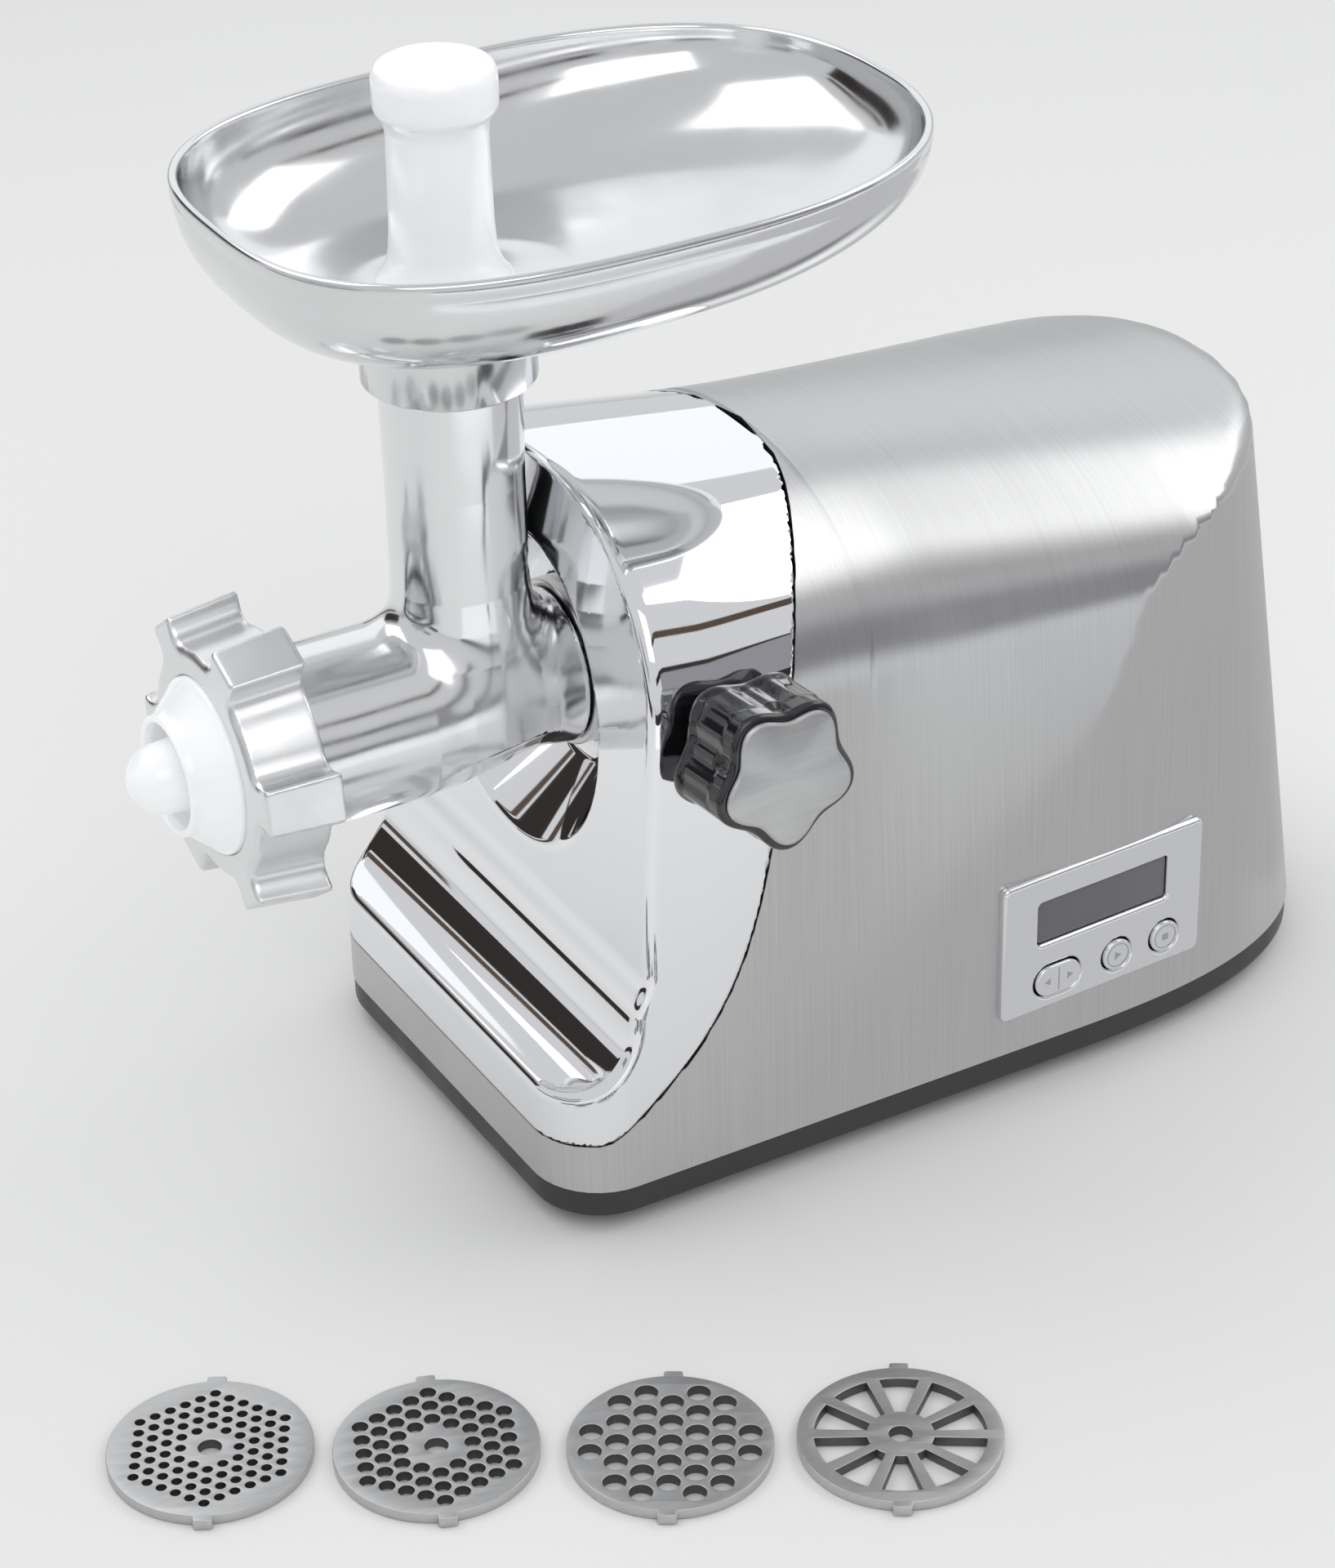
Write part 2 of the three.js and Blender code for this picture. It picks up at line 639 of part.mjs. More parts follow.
// pinion cut on a shaft that runs through its wheel
function pinionShaft(stage, at, from, shaftFrom, shaftTo) {
  const pinion = gear(stage, 0, at, 0, from);
  return pinion.add(rod(shaftRadius, shaftFrom, shaftTo, 'y', coarse, [at.x, at.y]));
}

function outputShaft() {
  const front = caseFront - outputReach;
  const body = joined(
    rod(outputRadius, front, thirdPlane - 0.6, 'y', medium, [0, headHeight]),
    rod(shaftRadius, thirdPlane - 1, coverBack - 0.5, 'y', coarse, [0, headHeight]));
  const socket = frontPrism(polygonShape(6, driveFlats / Math.sqrt(3) + hexClearance * 1.2, 0, headHeight),
    front - 1, front + 16);
  return body.subtract(socket);
}

// ---------------------------------------------------------------- motor
const brushZ = motorHeight;
function stator() {
  const ring = tube(motorRadius, 29, motorStart + 16, motorEnd - 26, 'y', medium, [0, motorHeight]);
  const flats = block([-motorRadius - 1, 0, 0], [-motorRadius + 3, 400, 400]);
  const otherFlat = block([motorRadius - 3, 0, 0], [motorRadius + 1, 400, 400]);
  return cut(ring, flats, otherFlat);
}

function coil(side) {
  const from = motorStart + 14;
  const to = motorEnd - 24;
  const half = tube(28.6, 24, from, to, 'y', medium, [0, motorHeight]);
  const low = side > 0 ? motorHeight + 9 : 0;
  const high = side > 0 ? 400 : motorHeight - 9;
  return half.intersect(block([-60, 0, low], [60, 400, high]));
}

function motorBracket(from, to, openSide) {
  const cup = rod(motorRadius - 2, from, to, 'y', medium, [0, motorHeight]);
  const hollowFrom = openSide > 0 ? from + 3 : from - 1;
  const hollowTo = openSide > 0 ? to + 1 : to - 3;
  const hollow = rod(motorRadius - 5, hollowFrom, hollowTo, 'y', medium, [0, motorHeight]);
  const boss = rod(12, from, to, 'y', coarse, [0, motorHeight])
    .intersect(block([-50, from, 0], [50, openSide > 0 ? from + 8 : to, 400]))
    .intersect(block([-50, openSide > 0 ? from : to - 8, 0], [50, to, 400]));
  const bearingHole = rod(8 + gap, from - 1, to + 1, 'y', coarse, [0, motorHeight]);
  const windows = [-1, 1].map((side) =>
    block([side * 30 - 8, openSide > 0 ? from + 5 : from - 1, motorHeight - 9],
      [side * 30 + 8, openSide > 0 ? to + 1 : to - 5, motorHeight + 9]));
  return cut(cup.subtract(hollow).add(boss), bearingHole, ...windows);
}

// ---------------------------------------------------------------- grinding head
const sleeveRadius = 27;

function headCasting() {
  const spigotEnd = collarY + spigotLength;
  const shapeY = (profile, segments = fine) => turned(profile, 'y', segments, [0, headHeight]);
  const barrel = shapeY([
    [0, headFront], [threadRadius, headFront], [threadRadius, threadStart],
    [barrelRadius, threadStart + 4], [barrelRadius, -8], [26.4, 16], [23.8, 30], [24, 35],
    [25.6, collarY - gap], [spigotRadius, collarY - gap], [spigotRadius, spigotEnd], [0, spigotEnd],
  ]);
  const tubeRise = turned([
    [0, headHeight + 5], [tubeRootRadius + 3.4, headHeight + 20], [tubeRootRadius + 1, headHeight + 29],
    [tubeRootRadius, headHeight + 36], [tubeTopRadius, tubeTop], [0, tubeTop],
  ], 'z', fine, [0, tubeY]);
  const plateSeat = headFront + plateThickness + 4;
  const bore = shapeY([
    [0, headFront - 1], [plateRadius + gap, headFront - 1], [plateRadius + gap, plateSeat],
    [barrelBore, plateSeat], [barrelBore, 20], [bushOuter + gap, 32], [bushOuter + gap, 44],
    [17, 46], [17, spigotEnd + 1], [0, spigotEnd + 1],
  ]);
  const throat = rod(tubeBore, headHeight, tubeTop + 1, 'z', medium, [0, tubeY]);
  return cut(joined(barrel, tubeRise), bore, throat);
}
const bushOuter = 12;
const augerTail = 8.4;

// one-start screw: a round core with a single flank, turned along its length
function auger() {
  const ring = (y) => {
    const count = 14;
    const turn = (2 * Math.PI * (y - headFront)) / augerPitch;
    return Array.from({ length: count }, (_, i) => {
      const angle = (i / count) * 2 * Math.PI;
      const radius = i < 3 ? barrelBore - 0.8 : augerCore;
      const [c, s] = [Math.cos(angle + turn), Math.sin(angle + turn)];
      return new THREE.Vector3(radius * c, y, headHeight + radius * s);
    });
  };
  const [from, to, steps] = [headFront + 9, 19, 26];
  const rings = Array.from({ length: steps + 1 }, (_, i) => ring(from + ((to - from) * i) / steps));
  const flight = loft(rings);
  const core = turned([
    [0, 18], [augerCore - 0.6, 18], [augerCore - 0.6, 21], [augerTail, 24],
    [augerTail, caseFront - outputReach - 2.5], [0, caseFront - outputReach - 2.5],
  ], 'y', coarse, [0, headHeight]);
  const hex = frontPrism(polygonShape(6, driveFlats / Math.sqrt(3), 0, headHeight),
    caseFront - outputReach - 3, caseFront - outputReach + 14);
  return joined(flight, core, hex);
}

function ringNut() {
  const inner = threadRadius + 0.6;
  const profile = [
    [ringLipBore, ringFront + 0.6], [34.5, ringFront], [36.2, ringFront + 2], [38.2, ringRear],
    [inner, ringRear], [inner, headFront - gap], [ringLipBore, headFront - gap],
    [ringLipBore, ringFront + 0.6],
  ];
  const body = turned(profile, 'y', fine, [0, headHeight]);
  const lugs = [];
  for (let i = 0; i < lugCount; i += 1) {
    const angle = lugAngle + (i * 2 * Math.PI) / lugCount;
    const corner = (turn, radius, y) => new THREE.Vector3(
      radius * Math.cos(angle + turn), y, headHeight + radius * Math.sin(angle + turn));
    const section = (y, reach) => [
      corner(-lugHalfRoot, inner - 0.8, y), corner(-lugHalfTip, reach, y),
      corner(lugHalfTip, reach, y), corner(lugHalfRoot, inner - 0.8, y),
    ];
    lugs.push(loft([section(ringFront + 1, lugReach - lugTaper), section(ringRear, lugReach)]));
  }
  const clear = rod(inner, headFront - gap, ringRear + 1, 'y', fine, [0, headHeight]);
  return joined(body, ...lugs).subtract(clear);
}

// outer cone of the kubbe attachment, held by the lip of the ring nut
function kubbeCone() {
  return turned([
    [27.9, headFront + 0.2], [27.9, headFront - 4.4], [26.4, -75.5], [19.6, -83.6], [19, -86.6],
    [16.6, -86.6], [17.2, -83], [23.6, -75.4], [24.6, headFront - 1], [24.6, headFront + 0.2],
    [27.9, headFront + 0.2],
  ], 'y', fine, [0, headHeight]);
}

// inner former: a holed disc in place of plate and knife, with a bullet nose through the spout
function kubbeFormer() {
  const disc = turned([
    [0, headFront + 0.5], [plateRadius, headFront + 0.5], [plateRadius, headFront + plateThickness + 3.5],
    [0, headFront + plateThickness + 3.5],
  ], 'y', fine, [0, headHeight]);
  const nose = turned([
    [0, headFront + 1], [12.4, headFront + 1], [11.2, -80], [11, -89], [9.4, -94], [6, -97.4], [0, -98.6],
  ], 'y', medium, [0, headHeight]);
  const holes = [];
  for (let i = 0; i < 3; i += 1) {
    const [from, to] = [(i * 2 * Math.PI) / 3 + 0.2, ((i + 1) * 2 * Math.PI) / 3 - 0.2];
    const shape = new THREE.Shape();
    shape.absarc(0, 0, 22.5, from, to, false);
    shape.absarc(0, 0, 14, to, from, true);
    const hole = frontPrism(shape, headFront - 1, headFront + plateThickness + 5, 6);
    holes.push(hole.translate(0, 0, headHeight));
  }
  return cut(joined(disc, nose), ...holes);
}

// ---------------------------------------------------------------- tray and pusher
function rimPoint(angle, shrink) {
  const [c, s] = [Math.cos(angle), Math.sin(angle)];
  const reach = (s > 0 ? trayBack : trayFront) - shrink;
  const power = s > 0 ? trayPower : trayFrontPower;
  const x = Math.sign(c) * (trayHalfWidth - shrink) * Math.abs(c) ** (2 / power);
  const y = trayCentreY + Math.sign(s) * reach * Math.abs(s) ** (2 / power);
  return vector(x, y);
}

// ring of the dish: share 0 at the throat, 1 at the rim
function trayRing(share, z, shrink, throat) {
  const count = 28;
  return Array.from({ length: count }, (_, i) => {
    const angle = ((i + 0.5) / count) * 2 * Math.PI;
    const rim = rimPoint(angle, shrink);
    const toThroat = vector(rim.x, rim.y - tubeY).normalize().multiplyScalar(throat).add(vector(0, tubeY));
    const place = toThroat.lerp(rim, share);
    return new THREE.Vector3(place.x, place.y, z);
  });
}

const trayFloor = trayRimHeight - trayDepth;
function tray() {
  const shares = [0, 0.4, 0.72, 0.9, 0.975, 1];
  const rise = (share) => 1 - (1 - share ** 3.2) ** 0.5;
  const throat = tubeTopRadius + collarWall;
  const outside = loft(shares.map((s) =>
    trayRing(s, trayFloor - trayWall + (trayDepth + trayWall) * rise(s), 0, throat)));
  const inside = loft(shares.map((s) =>
    trayRing(s, trayFloor + (trayDepth + 0.5) * rise(s), trayWall, throat - 1)));
  const collar = rod(throat, trayFloor - collarDrop, trayFloor, 'z', fine, [0, tubeY]);
  const throatHole = rod(tubeBore + 0.4, trayFloor - collarDrop, trayRimHeight, 'z', medium, [0, tubeY]);
  const seat = rod(tubeTopRadius + gap, trayFloor - collarDrop - 1, tubeTop + gap, 'z', fine, [0, tubeY]);
  return cut(joined(outside, collar), inside, throatHole, seat);
}

function pusher() {
  const flange = trayFloor + gap;
  return turned([
    [0, 225], [15.5, 225], [tubeBore - 0.9, 229], [tubeBore - 0.9, flange], [pusherFlangeRadius, flange],
    [pusherFlangeRadius, flange + 3], [pusherNeckRadius + 1.4, flange + 9], [pusherNeckRadius, flange + 18],
    [pusherNeckRadius - 0.3, pusherCapTop - 20], [pusherCapRadius - 1, pusherCapTop - 15],
    [pusherCapRadius, pusherCapTop - 12], [pusherCapRadius, pusherCapTop - 4],
    [pusherCapRadius - 3, pusherCapTop - 0.8], [0, pusherCapTop],
  ], 'z', medium, [0, tubeY]);
}

// ---------------------------------------------------------------- loose plates
function plateBlank() {
  const disc = rod(loosePlateRadius, 0, plateThickness, 'z', fine);
  const reach = loosePlateRadius + earReach;
  const ears = block([-earWidth / 2, -reach, 0], [earWidth / 2, reach, plateThickness]);
  return cut(joined(disc, ears), rod(plateBore, -1, plateThickness + 1, 'z', coarse));
}

// holes in hexagonal rings round the middle, with or without the corners of the last ring
function holedPlate({ pitch, holeRadius, sides, firstRing, lastRing, corners }) {
  const cutters = [];
  const farthest = corners ? lastRing * pitch : (lastRing - 0.2) * pitch;
  for (let column = -lastRing; column <= lastRing; column += 1) {
    for (let row = -lastRing; row <= lastRing; row += 1) {
      const ring = Math.max(Math.abs(column), Math.abs(row), Math.abs(column + row));
      const x = column * pitch * Math.sin(Math.PI / 3);
      const y = (row + column / 2) * pitch;
      if (ring >= firstRing && ring <= lastRing && Math.hypot(x, y) < farthest + 0.01) {
        const hole = polygonShape(sides, holeRadius, x, y, Math.PI / sides);
        cutters.push(planPrism(hole, -1, plateThickness + 1));
      }
    }
  }
  return cut(plateBlank(), ...cutters);
}

function spokedPlate() {
  const cutters = [];
  for (let i = 0; i < slotCount; i += 1) {
    const middle = ((i + 0.5) * 2 * Math.PI) / slotCount;
    const shape = new THREE.Shape();
    shape.absarc(0, 0, slotOuter, middle - slotHalfAngle, middle + slotHalfAngle, false);
    shape.absarc(0, 0, slotInner, middle + slotHalfAngle / 2, middle - slotHalfAngle / 2, true);
    cutters.push(planPrism(shape, -1, plateThickness + 1, 2));
  }
  return cut(plateBlank(), ...cutters);
}

// ---------------------------------------------------------------- clamp knob
function knobShape(lobe, valley) {
  const count = 40;
  const points = Array.from({ length: count }, (_, i) => {
    const angle = (i / count) * 2 * Math.PI;
    const radius = (lobe + valley) / 2 + ((lobe - valley) / 2) * Math.cos(knobLobes * angle);
    return vector(radius * Math.cos(angle), radius * Math.sin(angle));
  });
  return new THREE.Shape(points);
}

function knobPrism(lobe, valley, from, to, shrinkAtStart = 1) {
  const outline = knobShape(lobe, valley).getPoints();
  const ring = (at, scale) => outline.map((p) => new THREE.Vector3(p.x * scale, p.y * scale, at));
  const turn = new THREE.Matrix4().makeRotationZ(knobTurn);
  const rings = [ring(from, shrinkAtStart), ring(to, 1)];
  return loft(rings.map((points) => points.map((p) => p.applyMatrix4(turn).applyMatrix4(clampTurn))));
}
const knobTurn = THREE.MathUtils.degToRad(69);
const bushRadius = 8;
const knobEnd = knobStart + knobLength;

// ---------------------------------------------------------------- assembly
add('base_tray', baseTray(), blackPlastic);
add('housing_shell', shell(), steel);
add('front_fascia', fascia(), chrome);
footPlaces.forEach(([x, y], i) => {
  add(`foot_${footNames[i]}`, foot(x, y), rubber);
  add(`base_screw_${footNames[i]}`, baseScrew(...screwPlace([x, y])), steel);
});
add('chassis', chassis(), greyPlastic);

const sleeve = cut(
  turned([
    [spigotRadius + gap, collarY + gap], [sleeveRadius, collarY + gap], [sleeveRadius, caseFront - 6],
    [38, caseFront - 6], [38, caseFront - gap], [spigotRadius + gap, caseFront - gap],
    [spigotRadius + gap, collarY + gap],
  ], 'y', fine, [0, headHeight]),
  clampRod(bushRadius - 2, 10, 60));
add('head_socket', sleeve, steel);
const bush = cut(clampRod(bushRadius, sleeveRadius + gap + 0.6, bushEnd),
  clampRod(clampScrewRadius + gap, 0, bushEnd + 10));
add('clamp_bush', bush, bronze);

add('gearbox_case', gearboxCase(), castAluminium);
add('gearbox_cover', gearboxCover(), castAluminium);
add('output_bush', tube(outputBushRadius, outputRadius + gap, caseFront, caseFront + caseWall, 'y', medium,
  [0, headHeight]), bronze);
add('output_wheel', gear(2, 1, outputAxis, phases.outputWheel, thirdPlane, shaftRadius + gap), nylon);
add('output_shaft', outputShaft(), steel);
add('first_wheel', gear(0, 1, firstAxis, phases.firstWheel, firstPlane, shaftRadius + gap), nylon);
add('first_pinion_shaft', pinionShaft(1, firstAxis, secondPlane, caseFront + 1, coverBack - 0.5), steel);
add('second_wheel', gear(1, 1, secondAxis, phases.secondWheel, secondPlane, shaftRadius + gap), nylon);
add('second_pinion_shaft', pinionShaft(2, secondAxis, thirdPlane, caseFront + 1, coverBack - 0.5), steel);

const [brushInner, brushOuter] = [11.3, 28];    // the brushes reach from the commutator outwards
const rotorAt = [0, motorHeight];
const rotorShaft = joined(
  rod(3, firstPlane - 1, motorEnd - 0.5, 'y', coarse, rotorAt),
  gear(0, 0, motorAxis, phases.pinion, firstPlane));
add('motor_shaft', rotorShaft, steel);
add('armature', tube(23, 3 + gap, motorStart + 18, motorEnd - 30, 'y', medium, rotorAt), steel);
add('commutator', tube(11, 3 + gap, motorEnd - 26, motorEnd - 12, 'y', medium, rotorAt), copper);
const fanHub = tube(9, 3 + gap, motorStart + 9.5, motorStart + 15.5, 'y', coarse, rotorAt);
const blades = Array.from({ length: 8 }, (_, i) => {
  const blade = block([8, motorStart + 10, -1], [22, motorStart + 15, 1]);
  return blade.rotate([0, i * 45, 0]).translate(0, 0, motorHeight);
});
add('cooling_fan', joined(fanHub, ...blades), greyPlastic);
add('stator', stator(), steel);
add('field_coil_upper', coil(1), copper);
add('field_coil_lower', coil(-1), copper);
add('motor_bracket_front', motorBracket(motorStart, motorStart + 15.7, 1), castAluminium);
add('motor_bracket_rear', motorBracket(motorEnd - 25.7, motorEnd, -1), castAluminium);
add('motor_bearing_front', tube(8, 3 + gap, motorStart, motorStart + 8, 'y', coarse, rotorAt), steel);
add('motor_bearing_rear', tube(8, 3 + gap, motorEnd - 8, motorEnd, 'y', coarse, rotorAt), steel);
for (const [side, name] of [[-1, 'left'], [1, 'right']]) {
  const [left, right] = [side * brushInner, side * brushOuter].sort((a, b) => a - b);
  add(`carbon_brush_${name}`,
    block([left, motorEnd - 23, brushZ - 3.5], [right, motorEnd - 15, brushZ + 3.5]), rubber);
}

const pillShape = (shrink) => roundedRectangle(
  pillWidth - shrink, pillHeight - shrink, (pillHeight - shrink) / 2 - 0.01, pillPlace, -buttonDrop);
const bezelOpenings = [
  panelPrism(roundedRectangle(windowWidth, windowHeight, 0.8, 0, windowRise), -3, 5, 2),
  panelPrism(pillShape(0), -3, 5, 4),
  ...buttonPlaces.map((place) => panelPrism(circleShape(buttonRadius, place, -buttonDrop), -3, 5, 14)),
];
add('panel_bezel', cut(panelPrism(roundedRectangle(panelWidth, panelHeight, 2.2), -0.9, panelFaceOut, 3),
  ...bezelOpenings), chrome);
const windowPane = roundedRectangle(windowWidth - 2 * gap, windowHeight - 2 * gap, 0.6, 0, windowRise);
add('display_window', panelPrism(windowPane, -0.9, 1.6, 2), darkGlass);
add('display_module', panelPrism(
  roundedRectangle(windowWidth + 6, windowHeight + 6, 1, 0, windowRise), -6, -1.2, 1), blackPlastic);
add('control_board',
  panelPrism(roundedRectangle(panelWidth - 10, panelHeight - 6, 1), -9, -7.4, 1), boardGreen);
const buttonOut = panelFaceOut + 0.5;
add('rocker_button', panelPrism(pillShape(1), -0.6, buttonOut, 4), chrome);
buttonPlaces.forEach((place, i) => {
  add(['start_button', 'stop_button'][i],
    panelPrism(circleShape(buttonRadius - 0.4, place, -buttonDrop), -0.9, buttonOut, 14), chrome);
});

function planRearY(x, z) {
  const power = tailPower(z);
  const share = (1 - (Math.abs(x) / bodyHalfWidth) ** power) ** (1 / power);
  return tailStart + (tailEnd(z) - tailStart) * share;
}
const glandEnd = planRearY(glandX, glandZ);
add('cord_gland', tube(glandRadius, 3.6, glandEnd - 14, glandEnd + 3, 'y', coarse, [glandX, glandZ]), rubber);

add('head_casting', headCasting(), castAluminium);
add('auger_bush', tube(bushOuter, augerTail + gap, 33, 44, 'y', medium, [0, headHeight]), bronze);
add('auger', auger(), castAluminium);
add('kubbe_former', kubbeFormer(), whitePlastic);
add('kubbe_cone', kubbeCone(), whitePlastic);
add('ring_nut', ringNut(), castAluminium);
add('food_tray', tray(), castAluminium);
add('food_pusher', pusher(), whitePlastic);

add('clamp_shoe', clampRod(bushRadius - 2.5, spigotRadius + 0.4, spigotRadius + 3), bronze);
add('clamp_screw', clampRod(clampScrewRadius, spigotRadius + 3.3, knobStart + screwGrip), steel);
add('clamp_knob', cut(
  knobPrism(knobRadius, knobRadius * knobValley, knobStart, knobEnd, 0.9),
  clampRod(clampScrewRadius + gap, 0, knobStart + screwGrip + gap)), blackPlastic);
add('clamp_knob_cap',
  knobPrism(capRadius, capRadius * capValley, knobEnd + gap, knobEnd + capThickness), steel);

// the loose plates lie in a row on the table, each turned by some degrees
function layPlate(name, shape, x, y, degrees) {
  const mesh = add(name, shape, plateSteel);
  mesh.position.set(x, y, 0);
  mesh.rotation.z = THREE.MathUtils.degToRad(degrees);
}
const fineHoles = { pitch: 4.95, holeRadius: 1.55, sides: 4, firstRing: 2, lastRing: 5, corners: true };
const mediumHoles = { pitch: 6.15, holeRadius: 2.4, sides: 5, firstRing: 2, lastRing: 4, corners: true };
const coarseHoles = { pitch: 9, holeRadius: 3.5, sides: 5, firstRing: 1, lastRing: 3, corners: false };
layPlate('plate_fine', holedPlate(fineHoles), 116.5, -138.2, 61.4);
layPlate('plate_medium', holedPlate(mediumHoles), 150.4, -81.1, 68.7);
layPlate('plate_coarse', holedPlate(coarseHoles), 184.6, -21.9, 58.3);
layPlate('plate_spoked', spokedPlate(), 216.4, 37.5, 58.5);

// the origin is the centre of the floor rectangle that everything stands on
const extent = new THREE.Box3().setFromObject(group, true);
group.position.set(-(extent.min.x + extent.max.x) / 2, -(extent.min.y + extent.max.y) / 2, -extent.min.z);
group.updateMatrixWorld(true);

export default group;
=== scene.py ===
"""Electric meat grinder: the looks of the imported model, built piece by piece in mesh code."""

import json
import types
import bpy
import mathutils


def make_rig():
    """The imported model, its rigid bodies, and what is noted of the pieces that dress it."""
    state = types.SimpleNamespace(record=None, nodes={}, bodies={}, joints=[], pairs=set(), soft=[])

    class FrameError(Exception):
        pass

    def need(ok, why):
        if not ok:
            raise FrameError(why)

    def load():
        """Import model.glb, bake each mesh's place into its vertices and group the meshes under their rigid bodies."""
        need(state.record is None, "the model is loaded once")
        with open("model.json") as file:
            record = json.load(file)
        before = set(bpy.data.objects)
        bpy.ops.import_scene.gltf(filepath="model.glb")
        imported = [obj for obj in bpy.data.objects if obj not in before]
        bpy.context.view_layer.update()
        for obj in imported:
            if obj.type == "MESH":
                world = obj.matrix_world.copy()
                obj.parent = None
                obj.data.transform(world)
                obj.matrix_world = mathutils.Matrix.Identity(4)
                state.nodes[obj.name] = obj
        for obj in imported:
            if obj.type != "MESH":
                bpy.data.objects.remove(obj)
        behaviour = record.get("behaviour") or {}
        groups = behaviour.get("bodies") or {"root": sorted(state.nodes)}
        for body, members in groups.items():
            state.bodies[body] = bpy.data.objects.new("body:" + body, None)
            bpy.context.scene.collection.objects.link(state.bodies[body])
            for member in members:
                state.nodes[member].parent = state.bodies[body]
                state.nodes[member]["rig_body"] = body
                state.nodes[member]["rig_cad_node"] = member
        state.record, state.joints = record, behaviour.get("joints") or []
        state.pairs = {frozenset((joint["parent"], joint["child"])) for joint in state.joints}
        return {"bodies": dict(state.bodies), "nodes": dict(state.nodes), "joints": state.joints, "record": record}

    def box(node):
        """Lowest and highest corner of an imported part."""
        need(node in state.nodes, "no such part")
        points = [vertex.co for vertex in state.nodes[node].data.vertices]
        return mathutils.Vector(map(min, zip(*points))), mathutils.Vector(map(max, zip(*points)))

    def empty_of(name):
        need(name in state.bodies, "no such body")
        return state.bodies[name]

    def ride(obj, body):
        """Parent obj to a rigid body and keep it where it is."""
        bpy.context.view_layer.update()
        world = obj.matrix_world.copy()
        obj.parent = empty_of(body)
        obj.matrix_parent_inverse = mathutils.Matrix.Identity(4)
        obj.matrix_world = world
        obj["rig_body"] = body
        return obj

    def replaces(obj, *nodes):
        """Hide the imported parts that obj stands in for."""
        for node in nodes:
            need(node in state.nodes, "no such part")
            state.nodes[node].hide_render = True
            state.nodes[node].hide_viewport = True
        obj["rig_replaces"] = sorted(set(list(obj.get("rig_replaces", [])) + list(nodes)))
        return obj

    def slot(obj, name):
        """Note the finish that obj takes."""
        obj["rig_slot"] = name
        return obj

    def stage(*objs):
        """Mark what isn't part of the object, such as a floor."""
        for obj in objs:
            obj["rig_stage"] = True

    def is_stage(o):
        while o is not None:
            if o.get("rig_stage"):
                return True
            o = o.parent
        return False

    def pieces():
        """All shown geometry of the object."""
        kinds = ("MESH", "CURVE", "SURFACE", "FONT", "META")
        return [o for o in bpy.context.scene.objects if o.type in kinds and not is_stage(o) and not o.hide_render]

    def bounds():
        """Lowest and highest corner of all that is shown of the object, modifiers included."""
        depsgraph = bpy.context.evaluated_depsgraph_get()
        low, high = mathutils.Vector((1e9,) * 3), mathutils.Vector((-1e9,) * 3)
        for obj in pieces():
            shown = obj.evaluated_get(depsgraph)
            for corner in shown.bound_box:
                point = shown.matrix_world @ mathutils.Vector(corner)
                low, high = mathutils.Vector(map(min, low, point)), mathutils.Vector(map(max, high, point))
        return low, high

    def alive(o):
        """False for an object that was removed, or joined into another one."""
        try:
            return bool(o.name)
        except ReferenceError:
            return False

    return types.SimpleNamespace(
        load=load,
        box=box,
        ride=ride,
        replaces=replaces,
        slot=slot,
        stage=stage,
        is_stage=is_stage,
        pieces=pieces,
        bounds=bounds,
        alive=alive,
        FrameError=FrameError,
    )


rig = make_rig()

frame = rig.load()
cad_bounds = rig.bounds()

import json
import math
import bmesh
import bpy
import numpy as np
from mathutils import Matrix, Vector

MM = 0.001

# ---- machine frame
# Millimetres: x across from the middle of the housing, y back from the toe of the front, z up.
toe_low, toe_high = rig.box("front_fascia")
MIDDLE_X = (toe_low[0] + toe_high[0]) / 2
TOE_Y = toe_low[1]


def metres(points):
    """Machine millimetres to the row frame's metres."""
    return np.asarray(points, float).reshape(-1, 3) * MM + (MIDDLE_X, TOE_Y, 0.0)



# ---- camera
FOCAL_MM = 97.5
SENSOR_MM = 36.0
EYE = (1027.722, -489.623, 806.484)
LOOK = Vector((-0.748, 0.4188, -0.5149)).normalized()
ROLL = -0.024

camera = bpy.data.objects.new("camera", bpy.data.cameras.new("camera"))
bpy.context.scene.collection.objects.link(camera)
camera.data.sensor_fit = 'VERTICAL'
camera.data.sensor_height = SENSOR_MM
camera.data.lens = FOCAL_MM
camera.data.clip_end = 20
turn = LOOK.to_track_quat('-Z', 'Y').to_matrix() @ Matrix.Rotation(ROLL, 3, 'Z')
camera.matrix_world = Matrix.Translation(metres(EYE)[0]) @ turn.to_4x4()
bpy.context.scene.camera = camera

# ---- sizes shared by several pieces
HEAD_Z = 156.2
TUBE_Y = 15.0
HALF_WIDTH = 85.4
CORNER = 24.0
TAIL_START = 180.0
LENGTH = 314.0
TAIL_DRAFT = 0.12
TAIL_LOW, TAIL_HIGH = 2.8, 2.2
ROOF_FRONT, ROOF_Y, ROOF_FALL, ROOF_CURVE = 232.0, 46.0, 0.135, 0.000096
SPRING = 166.0
ARCH = 2.25
SEAM_Z = 15.5
LIP_Z = 51.0
TOE_SEAM_Z = 33.0
TROUGH = 25.0
RECESS = 55.0
RECESS_FLOOR_Y = 54.0
SLEEVE = 27.0
SEAM_POINTS = [(-14, TOE_SEAM_Z), (8, TOE_SEAM_Z), (20, 36.5), (48, 61), (65, 90), (76, 130),
               (84.5, 181), (97, 208), (119, 226), (150, 240)]


